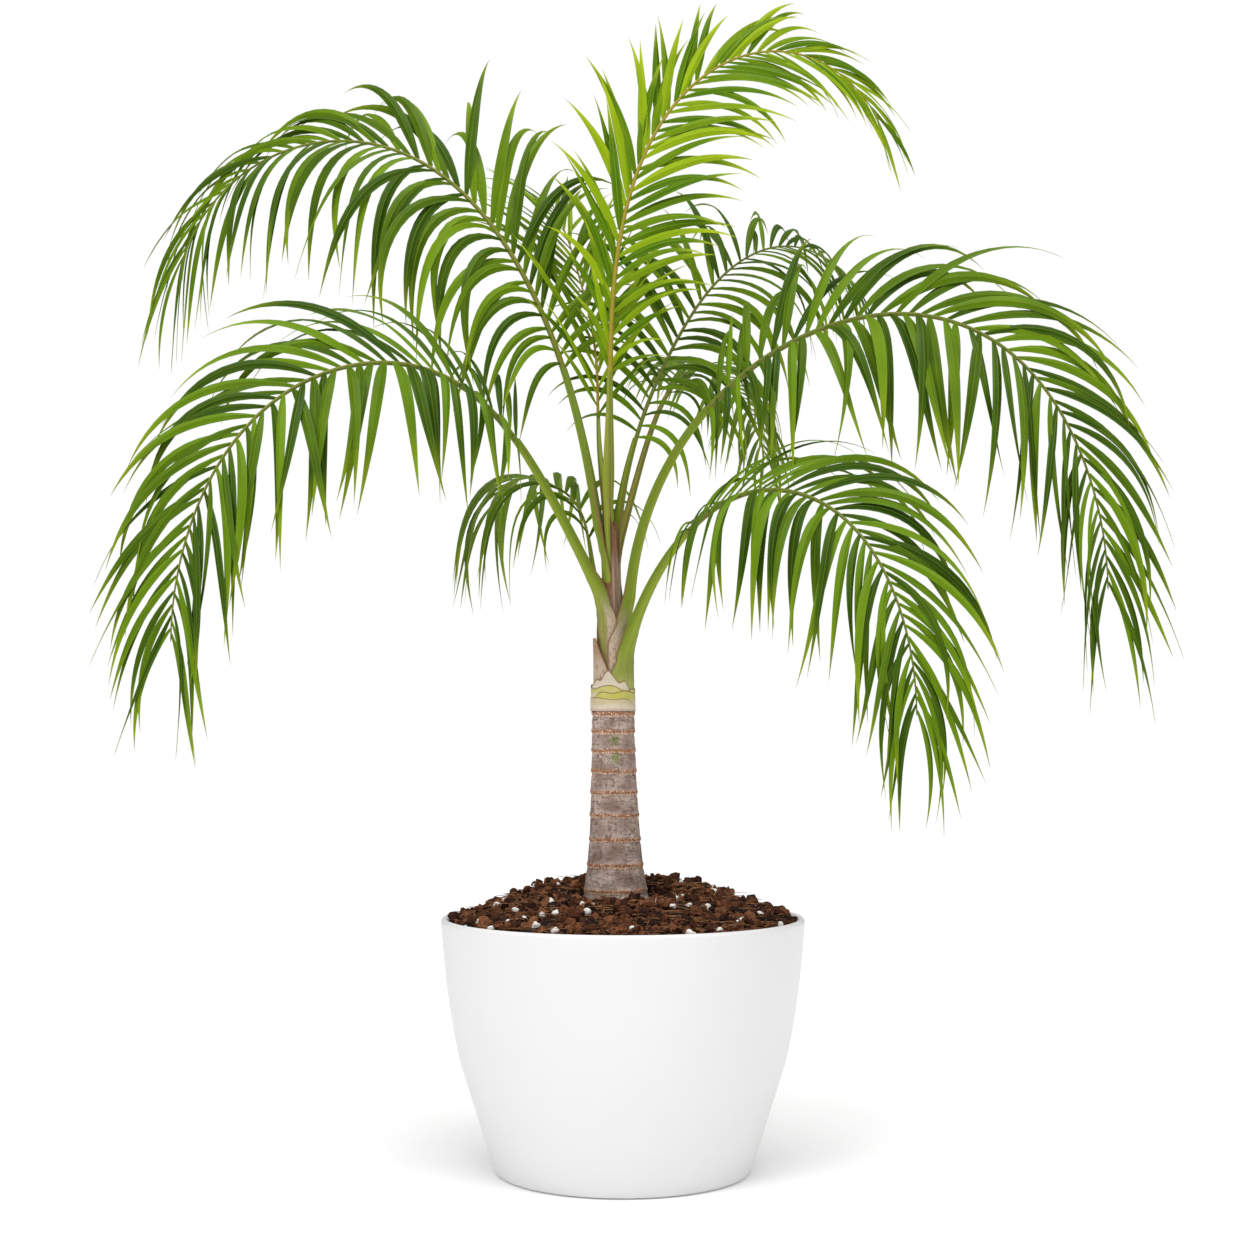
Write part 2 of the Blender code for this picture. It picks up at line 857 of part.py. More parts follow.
def lay_leaflets(frond, rib, piece, start, end, space):
    """Every leaflet of one blade piece that has room."""
    chance = np.random.default_rng(round(frond.turn + 500 + 7 * (piece == "outer")))
    owner = f"{frond.place}_{piece}"
    kept = []
    blade = frond.length * (1 - frond.stalk)
    first = frond.length * frond.stalk
    for number in range(frond.pairs):
        for side, offset in ((1, 0.30), (-1, 0.65)):
            shift = chance.uniform(-0.08, 0.08)
            distance = first + blade * (number + offset + shift) / frond.pairs
            if not start + BEND_ROOM < distance < end - BEND_ROOM:
                continue
            root = on_knots(rib, start, end, distance)
            leaflet = make_leaflet(frond, rib, root, distance, side, chance)
            for share in (1.0, 0.8, 0.6, SHORTEST_SHARE):
                tried = leaflet if share == 1.0 else leaflet.cut(share)
                if space.free(tried, owner):
                    kept.append(tried)
                    break
    return kept


def make_blade(frond, rib, piece, start, end, leaflets, collection):
    """Fuses a stretch of rib with its leaflets."""
    finish = YOUNG_LEAF if frond.place in ("top", "back_young") else OLD_LEAF
    name = f"frond_{frond.place}_{piece}"
    points, radii = rib_knots(rib, start, end)
    blade = tube(name, points, radii, collection, finish)
    loose = bpy.data.collections.new(f"leaflets_{name}")
    bpy.context.scene.collection.children.link(loose)
    for number, leaflet in enumerate(leaflets):
        leaflet_mesh(leaflet, number, loose)
    union = blade.modifiers.new("leaflets", "BOOLEAN")
    union.operation = "UNION"
    union.operand_type = "COLLECTION"
    union.collection = loose
    union.solver = "EXACT"
    apply_modifier(blade, union)
    for spent in list(loose.objects):
        bpy.data.objects.remove(spent)
    bpy.data.collections.remove(loose)
    return blade


def build():
    clear_scene()
    palm = bpy.data.collections.new("potted_queen_palm")
    bpy.context.scene.collection.children.link(palm)
    make_pot(palm)
    make_soil(palm)
    make_trunk(palm)
    make_old_base(palm)
    space = Space()
    stem = [np.array([stem_x(height), 0.0, height]) for height in (0.37, 0.50, 0.66, 0.80, 0.90)]
    space.add_limb("stem", stem, (0.047, 0.034, 0.031, 0.028, 0.020))
    ribs = {}
    for frond in FRONDS:
        rib = Rib(frond)
        ribs[frond.place] = rib
        if frond.layer == 0.0:
            make_core(frond, rib, palm)
        else:
            make_base(frond, rib, palm)
        stalk = [rib.at(frond.stalk * frond.length * i / 6)[0] for i in range(7)]
        space.add_limb(f"{frond.place}_stalk", stalk, [frond.stalk_width / 2 + 0.001] * 7)
        for piece, start, end in blade_pieces(frond):
            space.add_limb(f"{frond.place}_{piece}", *rib_knots(rib, start, end))
    space.seal()
    for frond in FRONDS:
        rib = ribs[frond.place]
        for piece, start, end in blade_pieces(frond):
            leaflets = lay_leaflets(frond, rib, piece, start, end, space)
            space.add_leaves(leaflets)
            make_blade(frond, rib, piece, start, end, leaflets, palm)


build()
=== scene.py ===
"""A young queen palm in a round white planter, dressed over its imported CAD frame.

Metres, +Z up, +X to the right and -Y to the front, in the frame's own coordinates.
"""

import logging
import math
from collections.abc import Sequence
from dataclasses import dataclass, field
from enum import Enum

import bpy
import numpy as np
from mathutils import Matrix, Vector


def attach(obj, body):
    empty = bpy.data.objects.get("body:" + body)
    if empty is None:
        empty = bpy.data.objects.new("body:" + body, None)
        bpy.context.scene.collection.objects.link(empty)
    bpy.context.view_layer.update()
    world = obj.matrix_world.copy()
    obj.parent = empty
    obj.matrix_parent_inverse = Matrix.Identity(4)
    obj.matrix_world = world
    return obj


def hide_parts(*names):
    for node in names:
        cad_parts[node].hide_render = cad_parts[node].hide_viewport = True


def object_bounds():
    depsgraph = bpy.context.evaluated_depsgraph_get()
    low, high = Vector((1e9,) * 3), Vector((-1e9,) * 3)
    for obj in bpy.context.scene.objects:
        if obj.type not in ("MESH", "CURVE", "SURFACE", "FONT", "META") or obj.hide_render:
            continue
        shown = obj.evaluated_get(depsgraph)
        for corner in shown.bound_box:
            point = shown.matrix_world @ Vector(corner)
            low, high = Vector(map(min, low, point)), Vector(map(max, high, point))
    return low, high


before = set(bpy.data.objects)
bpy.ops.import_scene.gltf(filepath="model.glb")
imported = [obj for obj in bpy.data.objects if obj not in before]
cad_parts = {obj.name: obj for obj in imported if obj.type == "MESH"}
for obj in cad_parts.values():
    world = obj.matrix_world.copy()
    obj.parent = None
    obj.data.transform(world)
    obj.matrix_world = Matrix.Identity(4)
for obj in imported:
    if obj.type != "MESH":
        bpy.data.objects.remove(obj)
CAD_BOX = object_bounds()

log = logging.getLogger("potted_palm")

Colour = tuple[float, float, float]
UP = np.array([0.0, 0.0, 1.0])
BODY = "root"


# Small maths


def blend(low: float, high: float, share: float) -> float:
    """The value a share of the way from low to high."""
    return low + (high - low) * share


def smooth(share: float) -> float:
    """An S-curve from 0 to 1, held at both ends."""
    share = min(max(share, 0.0), 1.0)
    return share * share * (3.0 - 2.0 * share)


def unit(vector: np.ndarray) -> np.ndarray:
    """The vector at length 1."""
    return vector / np.linalg.norm(vector)


def table(rows: Sequence[tuple[float, float]], x: float) -> float:
    """Reads a table of (x, y) rows between its rows.

    Args:
        rows: the rows, in either direction of x.
        x: where to read.

    Returns:
        The y there.
    """
    ordered = sorted(rows)
    return float(np.interp(x, [row[0] for row in ordered], [row[1] for row in ordered]))


def curved(rows: Sequence[tuple[float, float]], count: int) -> list[tuple[float, float]]:
    """Puts a smooth curve through the rows.

    Args:
        rows: points of the curve in order.
        count: how many points to place on each span.

    Returns:
        The points of the curve, both ends among them.
    """
    ends = [rows[0], *rows, rows[-1]]
    found: list[tuple[float, float]] = []
    for a, b, c, d in zip(ends, ends[1:], ends[2:], ends[3:]):
        for i in range(count):
            t = i / count
            weights = (
                -0.5 * t + t * t - 0.5 * t**3,
                1 - 2.5 * t * t + 1.5 * t**3,
                0.5 * t + 2 * t * t - 1.5 * t**3,
                -0.5 * t * t + 0.5 * t**3,
            )
            found.append(
                tuple(sum(w * p[axis] for w, p in zip(weights, (a, b, c, d))) for axis in (0, 1))
            )
    found.append(tuple(rows[-1]))
    return found


# Shader building


class Wire:
    """A number in a material. Sums and products of it add Math nodes."""

    def __init__(self, nodes: "Nodes", socket: bpy.types.NodeSocket) -> None:
        """Keeps the socket and the material that it belongs to."""
        self.nodes = nodes
        self.socket = socket

    def math(self, operation: str, *values: object) -> "Wire":
        """Adds a Math node.

        Args:
            operation: the Math node's operation.
            values: its inputs in order.

        Returns:
            The node's result.
        """
        inputs = dict(enumerate(values or (self,)))
        made = self.nodes.node("ShaderNodeMath", {"operation": operation}, inputs)
        return Wire(self.nodes, made.outputs[0])

    def __add__(self, other: object) -> "Wire":
        """self + other."""
        return self.math("ADD", self, other)

    def __radd__(self, other: object) -> "Wire":
        """other + self."""
        return self.math("ADD", other, self)

    def __sub__(self, other: object) -> "Wire":
        """self - other."""
        return self.math("SUBTRACT", self, other)

    def __rsub__(self, other: object) -> "Wire":
        """other - self."""
        return self.math("SUBTRACT", other, self)

    def __mul__(self, other: object) -> "Wire":
        """self * other."""
        return self.math("MULTIPLY", self, other)

    def __rmul__(self, other: object) -> "Wire":
        """other * self."""
        return self.math("MULTIPLY", other, self)

    def __abs__(self) -> "Wire":
        """The value without its sign."""
        return self.math("ABSOLUTE", self)

    def highest(self, other: object) -> "Wire":
        """The larger of the two."""
        return self.math("MAXIMUM", self, other)

    def band(self, low: float, high: float) -> "Wire":
        """Rises smoothly from 0 at low to 1 at high."""
        made = self.nodes.node(
            "ShaderNodeMapRange",
            {"interpolation_type": "SMOOTHSTEP"},
            {"Value": self, "From Min": low, "From Max": high},
        )
        return Wire(self.nodes, made.outputs["Result"])


class Nodes:
    """The nodes of one material, made by one method."""

    def __init__(self, name: str) -> None:
        """Starts a material with its Principled shader."""
        self.material = bpy.data.materials.new(name)
        self.material.use_nodes = True
        self.tree = self.material.node_tree
        self.shader = self.tree.nodes["Principled BSDF"]

    def feed(self, socket: bpy.types.NodeSocket, value: object) -> None:
        """Links a wire or a socket into the socket, or sets a plain value on it."""
        if isinstance(value, Wire):
            value = value.socket
        if isinstance(value, bpy.types.NodeSocket):
            self.tree.links.new(value, socket)
        elif socket.type == "RGBA" and len(value) == 3:
            socket.default_value = (*value, 1.0)
        else:
            socket.default_value = value

    def node(
        self,
        kind: str,
        settings: dict[str, object] | None = None,
        sockets: dict[object, object] | None = None,
    ) -> bpy.types.Node:
        """Adds a node.

        Args:
            kind: the node's type.
            settings: its settings by name, with a ramp's stops under "stops".
            sockets: values or links of its sockets, by name or number.

        Returns:
            The new node.
        """
        made = self.tree.nodes.new(kind)
        for key, value in (settings or {}).items():
            if key == "stops":
                elements = made.color_ramp.elements
                while len(elements) < len(value):
                    elements.new(0.5)
                for element, (position, colour) in zip(elements, value):
                    element.position = position
                    element.color = (*colour, 1.0)
            else:
                setattr(made, key, value)
        for key, value in (sockets or {}).items():
            self.feed(made.inputs[key], value)
        return made

    def place(self, scale: Sequence[float] = (1.0, 1.0, 1.0)) -> bpy.types.NodeSocket:
        """The place on the object, in metres, stretched by a scale along each axis."""
        place = self.node("ShaderNodeTexCoord").outputs["Object"]
        made = self.node("ShaderNodeVectorMath", {"operation": "MULTIPLY"}, {0: place, 1: tuple(scale)})
        return made.outputs[0]

    def split(self, vector: bpy.types.NodeSocket) -> tuple[Wire, Wire, Wire]:
        """The three parts of a vector."""
        made = self.node("ShaderNodeSeparateXYZ", None, {0: vector})
        return tuple(Wire(self, output) for output in made.outputs)

    def lay(self) -> tuple[Wire, Wire]:
        """The share across and the share along a piece, from its own UV map."""
        across, along, _ = self.split(self.node("ShaderNodeUVMap", {"uv_map": "lay"}).outputs[0])
        return across, along

    def mark(self, name: str) -> Wire:
        """A number kept on the mesh's points."""
        made = self.node("ShaderNodeAttribute", {"attribute_name": name})
        return Wire(self, made.outputs["Fac"])

    def join(self, x: object, y: object, z: object) -> bpy.types.NodeSocket:
        """A vector of three numbers."""
        return self.node("ShaderNodeCombineXYZ", None, {0: x, 1: y, 2: z}).outputs[0]

    def noise(self, vector: bpy.types.NodeSocket, scale: float, detail: float = 2.0) -> Wire:
        """Soft noise from 0 to 1 over a vector."""
        made = self.node("ShaderNodeTexNoise", None, {"Vector": vector, "Scale": scale, "Detail": detail})
        return Wire(self, made.outputs["Fac"])

    def cells(self, vector: bpy.types.NodeSocket, scale: float, feature: str = "F1") -> Wire:
        """Distance within a pattern of cells over a vector."""
        made = self.node("ShaderNodeTexVoronoi", {"feature": feature}, {"Vector": vector, "Scale": scale})
        return Wire(self, made.outputs["Distance"])

    def ramp(self, value: Wire, stops: Sequence[tuple[float, Colour]]) -> bpy.types.NodeSocket:
        """A colour read from stops by a number."""
        return self.node("ShaderNodeValToRGB", {"stops": stops}, {0: value}).outputs[0]

    def mix(self, share: object, first: object, second: object) -> bpy.types.NodeSocket:
        """A colour between two colours."""
        made = self.node("ShaderNodeMix", {"data_type": "RGBA"}, {0: share, 6: first, 7: second})
        return made.outputs[2]

    def finish(
        self,
        roughness: object,
        colour: object,
        relief: Wire | None = None,
        depth: float = 0.0,
        gloss: float = 0.5,
    ) -> None:
        """Feeds the shader.

        Args:
            roughness: number or wire.
            colour: colour or socket.
            relief: height of the surface's fine relief, from 0 to 1.
            depth: metres that a relief of 1 stands for.
            gloss: strength of the plain reflection.
        """
        self.shader.inputs["Specular IOR Level"].default_value = gloss
        self.feed(self.shader.inputs["Base Color"], colour)
        self.feed(self.shader.inputs["Roughness"], roughness)
        if relief is not None:
            bump = self.node("ShaderNodeBump", None, {"Height": relief, "Distance": depth, "Strength": 1.0})
            self.feed(self.shader.inputs["Normal"], bump.outputs[0])


# Finishes


@dataclass(frozen=True)
class PlanterFinish:
    """Smooth satin plastic with a very fine moulded grain."""

    colour: Colour = (0.800, 0.789, 0.792)
    shade: Colour = (0.770, 0.760, 0.763)
    roughness: float = 0.34

    def material(self) -> bpy.types.Material:
        """Builds the material."""
        nodes = Nodes("planter_plastic")
        place = nodes.place()
        cloud = nodes.noise(place, 5.0, 3.0)
        grain = nodes.noise(place, 1400.0, 1.0)
        colour = nodes.mix(cloud.band(0.35, 0.75) * 0.35, self.colour, self.shade)
        nodes.finish(self.roughness + cloud * 0.08, colour, grain, 0.00003)
        return nodes.material


@dataclass(frozen=True)
class SoilFinish:
    """Damp coir and peat: red-brown lumps that vary at random, with the fine relief's hollows painted nearly
    black as shade and its tops painted lighter as lit.
    """

    name: str
    dark: Colour
    middle: Colour
    light: Colour
    grain: float = 0.0006

    def material(self) -> bpy.types.Material:
        """Builds the material."""
        nodes = Nodes(self.name)
        place = nodes.place()
        lumps = nodes.noise(place, 260.0, 4.0)
        crumbs = nodes.cells(place, 420.0)
        tone = nodes.mark("tone")
        # The lumps noise both raises the relief and lightens the colour, so the hollows are painted shade and
        # the tops painted light.
        share = lumps * 0.55 + tone * 0.55 - crumbs * 0.15
        colour = nodes.ramp(share, ((0.22, self.dark), (0.52, self.middle), (0.86, self.light)))
        nodes.finish(0.82 + lumps * 0.15, colour, lumps + crumbs * 0.6, self.grain, 0.2)
        return nodes.material


@dataclass(frozen=True)
class PerliteFinish:
    """Chalky white perlite with small pits and some soil dust."""

    colour: Colour = (0.88, 0.87, 0.83)
    dust: Colour = (0.42, 0.30, 0.22)

    def material(self) -> bpy.types.Material:
        """Builds the material."""
        nodes = Nodes("perlite")
        place = nodes.place()
        pits = nodes.cells(place, 900.0)
        dust = nodes.noise(place, 190.0, 3.0)
        colour = nodes.mix(dust.band(0.52, 0.78) * 0.55, self.colour, self.dust)
        nodes.finish(0.9, colour, pits, 0.0006)
        return nodes.material


@dataclass(frozen=True)
class BarkFinish:
    """Grey-tan palm bark with brown ring scars, a cream line under each, and fine cracks."""

    rings: tuple[float, ...]
    low: float
    high: float
    grey: Colour = (0.250, 0.172, 0.140)
    pale: Colour = (0.540, 0.420, 0.365)
    crack: Colour = (0.080, 0.045, 0.032)
    scar: Colour = (0.330, 0.130, 0.055)
    cream: Colour = (0.80, 0.60, 0.45)
    moss: Colour = (0.130, 0.185, 0.025)
    moss_spots: tuple[tuple[float, float], ...] = ((-0.0115, 0.5877), (-0.0105, 0.5640))

    def _bands(self, shift: float, half: float) -> list[tuple[float, Colour]]:
        """Ramp stops for one line at each ring.

        Args:
            shift: height of the line over the ring.
            half: half its height.

        Returns:
            Stops that rise from black to white and back at each ring.
        """
        stops: list[tuple[float, Colour]] = []
        for ring in self.rings:
            for offset, level in ((-half, 0.0), (0.0, 1.0), (half, 0.0)):
                share = (ring + shift + offset - self.low) / (self.high - self.low)
                stops.append((share, (level, level, level)))
        return stops

    def material(self) -> bpy.types.Material:
        """Builds the material."""
        nodes = Nodes("palm_bark")
        place = nodes.place()
        level_x, level_y, height = nodes.split(place)
        wave = nodes.noise(place, 26.0, 2.0) * 0.0040 - 0.0020
        wave = wave + nodes.noise(place, 260.0, 3.0) * 0.0030 - 0.0015
        level = (height + wave - self.low) * (1.0 / (self.high - self.low))
        scars = Wire(nodes, nodes.ramp(level, self._bands(0.0008, 0.0042))).band(0.25, 0.70)
        lines = Wire(nodes, nodes.ramp(level, self._bands(-0.0026, 0.0024))).band(0.2, 0.8)
        cloud = nodes.noise(place, 34.0, 4.0)
        upright = nodes.noise(nodes.place((1.0, 1.0, 0.22)), 210.0, 3.0)
        level_wrinkles = nodes.noise(nodes.place((0.35, 0.35, 1.0)), 330.0, 4.0)
        warped = nodes.noise(nodes.place((0.5, 0.5, 1.0)), 120.0, 5.0)
        cracks = (1.0 - abs(warped - 0.5).band(0.0, 0.018)) * cloud.band(0.40, 0.62)
        pits = nodes.noise(place, 620.0, 2.0).band(0.60, 0.70)
        colour = nodes.mix(cloud.band(0.3, 0.7), self.grey, self.pale)
        colour = nodes.mix(upright.band(0.50, 0.70) * 0.40, colour, self.crack)
        colour = nodes.mix(level_wrinkles.band(0.51, 0.66) * 0.46, colour, self.crack)
        colour = nodes.mix(cracks * 0.55, colour, self.crack)
        colour = nodes.mix(pits * 0.35, colour, self.crack)
        speckle = nodes.noise(place, 480.0, 3.0)
        for spot_x, spot_height in self.moss_spots:
            sideways, upwards = level_x - spot_x, height - spot_height
            reach = (sideways * sideways + upwards * upwards * 0.6).math("SQRT") + speckle * 0.018
            moss = (1.0 - reach.band(0.0095, 0.0185)) * (1.0 - level_y.band(-0.01, 0.0))
            colour = nodes.mix(moss * 0.8, colour, self.moss)
        colour = nodes.mix(scars * 0.9, colour, nodes.mix(speckle.band(0.50, 0.66), self.scar, self.cream))
        colour = nodes.mix(lines * 0.8, colour, nodes.mix(speckle.band(0.56, 0.40), self.cream, self.scar))
        relief = level_wrinkles * 0.5 + upright * 0.5 - cracks * 0.7 + lines * 0.4
        nodes.finish(0.78 + cloud * 0.15, colour, relief, 0.0013, 0.12)
        return nodes.material


@dataclass(frozen=True)
class StemFinish:
    """A leaf base: a ribbed sheath that dries at its edges, and the stalk that it becomes, with painted shade
    down the stalk's flanks.
    """

    name: str
    foot: Colour
    sheath: Colour
    stalk: Colour
    margin: Colour = (0.22, 0.105, 0.045)
    # The rib stripes' colour, which also gives the painted shade on the stalk's flanks.
    stripe_and_edge_shade: Colour = (0.090, 0.150, 0.008)
    margin_from: float = 0.472
    margin_share: float = 0.9
    foot_height: float = 0.03
    sheath_height: float = 0.13
    dry: float = 0.0
    papery: Colour = (0.52, 0.41, 0.32)
    papery_from: float = 0.17
    wander: float = 0.02

    def material(self) -> bpy.types.Material:
        """Builds the material."""
        nodes = Nodes(self.name)
        across, along = nodes.lay()
        place = nodes.place()
        cloud = nodes.noise(place, 40.0, 4.0)
        fibres = nodes.noise(nodes.join(across * 38.0, along * 9.0, 0.0), 1.0, 4.0)
        ribs = nodes.noise(nodes.join(across * 13.0, along * 1.2, 3.0), 1.0, 1.0)
        spot = nodes.noise(nodes.place((1.0, 1.0, 0.5)), 320.0, 3.0)
        rise = along + cloud * self.wander - self.wander / 2
        colour = nodes.mix(rise.band(0.0, self.foot_height), self.foot, self.sheath)
        colour = nodes.mix(rise.band(self.foot_height, self.sheath_height), colour, self.stalk)
        colour = nodes.mix(ribs.band(0.45, 0.68) * 0.40, colour, self.stripe_and_edge_shade)
        sides = (abs(across - 0.5) + cloud * 0.08).band(self.papery_from + 0.04, self.papery_from + 0.12)
        sides = sides * (1.0 - rise.band(self.sheath_height * 0.65, self.sheath_height * 0.95))
        colour = nodes.mix(sides * 0.9, colour, self.papery)
        threads = nodes.noise(nodes.join(across * 9.0, along * 55.0, 5.0), 1.0, 5.0)
        threads = 1.0 - abs(threads - 0.5).band(0.0, 0.022)
        below = self.dry * (1.0 - rise.band(self.sheath_height, self.sheath_height * 1.3))
        colour = nodes.mix(threads * sides.highest(below) * 0.8, colour, self.margin)
        # Painted shade: darker towards both edges of the stalk's width, as a round stalk shades at its sides.
        flank = abs(across - 0.5).band(0.10, 0.5) * rise.band(self.foot_height, self.sheath_height)
        colour = nodes.mix(flank * 0.75, colour, self.stripe_and_edge_shade)
        low = 1.0 - rise.band(0.0, self.sheath_height)
        colour = nodes.mix(low * fibres.band(0.5, 0.75) * (0.15 + 0.45 * self.dry), colour, self.margin)
        colour = nodes.mix(low * spot.band(0.60, 0.76) * (0.25 + 0.3 * self.dry), colour, self.margin)
        edge = abs(across - 0.5) + fibres * 0.05
        worn = edge.band(self.margin_from, self.margin_from + 0.03)
        worn = worn * (1.0 - along.band(self.sheath_height * 0.8, self.sheath_height * 1.5))
        colour = nodes.mix(worn * self.margin_share, colour, self.margin)
        colour = nodes.mix(nodes.mark("rim").band(0.91, 0.97) * 0.9, colour, self.margin)
        relief = ribs * 0.8 + fibres * 0.4
        nodes.finish(0.42 + 0.35 * self.dry + fibres * 0.12, colour, relief, 0.0009, 0.2)
        return nodes.material


@dataclass(frozen=True)
class LeafFinish:
    """Leaflets of one frond: deep and fresh greens, paler veins, midrib, underside and tips. The underside's
    paler grey-green is partly its own colour and partly a painted sheen.
    """

    name: str
    deep: Colour
    fresh: Colour
    tip: Colour
    midrib: Colour
    pale: Colour
    roughness: float = 0.36

    def material(self) -> bpy.types.Material:
        """Builds the material."""
        nodes = Nodes(self.name)
        across, along = nodes.lay()
        tone = nodes.mark("tone")
        under = nodes.mark("under")
        place = nodes.place()
        cloud = nodes.noise(place, 16.0, 3.0)
        veins = nodes.noise(nodes.join(across * 34.0, along * 1.6, tone * 53.0), 1.0, 2.0)
        middle = abs(across - 0.5)
        share = tone * 0.80 + cloud * 0.45 - 0.15
        colour = nodes.mix(share.band(0.1, 0.95), self.deep, self.fresh)
        colour = nodes.mix(veins.band(0.45, 0.72) * 0.35, colour, self.fresh)
        # Paler underside: partly its own colour, partly a painted greyish sheen.
        colour = nodes.mix(under * 0.55, colour, self.pale)
        colour = nodes.mix((1.0 - middle.band(0.015, 0.05)) * 0.55, colour, self.midrib)
        ends = (along + tone * 0.12 + veins * 0.10).band(0.70, 1.08)
        colour = nodes.mix(ends * 0.85, colour, self.tip)
        nodes.finish(self.roughness + cloud * 0.14, colour, veins, 0.00025, 0.07)
        return nodes.material


@dataclass(frozen=True)
class RibFinish:
    """The rib of a frond: a pale ridge with darker green flanks."""

    name: str
    ridge: Colour
    flank: Colour

    def material(self) -> bpy.types.Material:
        """Builds the material."""
        nodes = Nodes(self.name)
        across, along = nodes.lay()
        fibres = nodes.noise(nodes.join(across * 20.0, along * 60.0, 0.0), 1.0, 3.0)
        cloud = nodes.noise(nodes.place(), 24.0, 2.0)
        flank = across.math("SINE", across * (4.0 * math.pi)).band(-0.1, 0.6)
        colour = nodes.mix(flank * 0.6, self.ridge, self.flank)
        colour = nodes.mix(fibres.band(0.5, 0.75) * 0.3 + cloud * 0.15, colour, self.flank)
        nodes.finish(0.42 + cloud * 0.1, colour, fibres, 0.0003, 0.16)
        return nodes.material


# Modelling


class Bench:
    """Edit-mode work on one new object at a time."""

    @staticmethod
    def clear() -> None:
        """Leaves nothing selected."""
        bpy.ops.object.select_all(action="DESELECT")

    @staticmethod
    def only(piece: bpy.types.Object) -> None:
        """Selects one piece alone and makes it active."""
        Bench.clear()
        piece.select_set(True)
        bpy.context.view_layer.objects.active = piece

    @staticmethod
    def turned(name: str, stations: Sequence[tuple[float, float]], sides: int) -> bpy.types.Object:
        """Draws a filled circle out through stations to a closed round body.

        Args:
            name: name of the piece.
            stations: (radius, height) from the first flat end to the last.
            sides: sides of the circle.

        Returns:
            The piece, closed at both ends.
        """
        Bench.clear()
        radius, height = stations[0]
        start = (0, 0, height)
        bpy.ops.mesh.primitive_circle_add(vertices=sides, radius=radius, fill_type="NGON", location=start)
        piece = bpy.context.object
        piece.name = name
        bpy.ops.object.transform_apply(location=True, rotation=True, scale=True)
        bpy.ops.object.mode_set(mode="EDIT")
        bpy.ops.mesh.select_mode(type="FACE")
        bpy.ops.mesh.select_all(action="SELECT")
        for next_radius, next_height in stations[1:]:
            rise = next_height - height
            bpy.ops.mesh.extrude_region_move(TRANSFORM_OT_translate={"value": (0, 0, rise)})
            grow = next_radius / radius
            bpy.ops.transform.resize(value=(grow, grow, 1), center_override=(0, 0, next_height))
            radius, height = next_radius, next_height
        bpy.ops.mesh.select_all(action="SELECT")
        bpy.ops.mesh.normals_make_consistent(inside=False)
        bpy.ops.object.mode_set(mode="OBJECT")
        return piece

    @staticmethod
    def roughen(piece: bpy.types.Object, size: float, strength: float, kind: str = "CLOUDS") -> None:
        """Pushes the surface in and out by a noise texture, and applies it."""
        texture = bpy.data.textures.new(f"{piece.name}_{kind}", kind)
        texture.noise_scale = size
        push = piece.modifiers.new("roughen", "DISPLACE")
        push.texture = texture
        push.strength = strength
        push.mid_level = 0.5
        Bench.only(piece)
        bpy.ops.object.modifier_apply(modifier=push.name)

    @staticmethod
    def smooth_shade(piece: bpy.types.Object, angle: float = 40.0) -> None:
        """Shades smoothly, except over sharp edges."""
        Bench.only(piece)
        bpy.ops.object.shade_smooth_by_angle(angle=math.radians(angle))


class Joined:
    """Many small closed shells, gathered as arrays and made one mesh."""

    def __init__(self) -> None:
        """Starts with nothing."""
        self.points: list[np.ndarray] = []
        self.faces: list[list[int]] = []
        self.count = 0
        self.lay: list[np.ndarray] = []
        self.marks: dict[str, list[np.ndarray]] = {}

    def add(
        self,
        points: np.ndarray,
        faces: Sequence[Sequence[int]],
        lay: np.ndarray | None = None,
        **marks: np.ndarray,
    ) -> None:
        """Adds one shell.

        Args:
            points: its points.
            faces: its faces by point number.
            lay: share across and along for each point.
            marks: further numbers for each point, by name.
        """
        self.points.append(points)
        self.faces.extend([[index + self.count for index in face] for face in faces])
        self.count += len(points)
        self.lay.append(np.zeros((len(points), 2)) if lay is None else lay)
        for key, values in marks.items():
            self.marks.setdefault(key, []).append(values)

    def piece(self, name: str, material: bpy.types.Material, angle: float = 40.0) -> bpy.types.Object:
        """Makes the mesh.

        Args:
            name: name of the piece.
            material: its finish.
            angle: edges sharper than this stay sharp, in degrees.

        Returns:
            The piece, with its faces turned outwards.
        """
        mesh = bpy.data.meshes.new(name)
        mesh.from_pydata(np.concatenate(self.points), [], self.faces)
        corners = np.empty(len(mesh.loops), np.int32)
        mesh.loops.foreach_get("vertex_index", corners)
        layer = mesh.uv_layers.new(name="lay")
        layer.data.foreach_set("uv", np.concatenate(self.lay)[corners].ravel())
        for key, values in self.marks.items():
            mark = mesh.attributes.new(key, "FLOAT", "POINT")
            mark.data.foreach_set("value", np.concatenate(values).astype(np.float32))
        mesh.materials.append(material)
        made = bpy.data.objects.new(name, mesh)
        bpy.context.scene.collection.objects.link(made)
        Bench.only(made)
        bpy.ops.object.mode_set(mode="EDIT")
        bpy.ops.mesh.select_all(action="SELECT")
        bpy.ops.mesh.normals_make_consistent(inside=False)
        bpy.ops.object.mode_set(mode="OBJECT")
        Bench.smooth_shade(made, angle)
        return made


def loft(rows: int, count: int, tip: bool) -> list[list[int]]:
    """Faces over rows of equally many points, closed at the foot and at the end.

    Args:
        rows: number of rows.
        count: points in each row.
        tip: whether one more point after the rows closes the end.

    Returns:
        Faces by point number.
    """
    faces = []
    for row in range(rows - 1):
        for i in range(count):
            j = (i + 1) % count
            low = row * count
            faces.append([low + i, low + j, low + count + j, low + count + i])
    faces.append(list(range(count))[::-1])
    last = (rows - 1) * count
    if tip:
        faces += [[last + i, last + (i + 1) % count, last + count] for i in range(count)]
    else:
        faces.append([last + i for i in range(count)])
    return faces


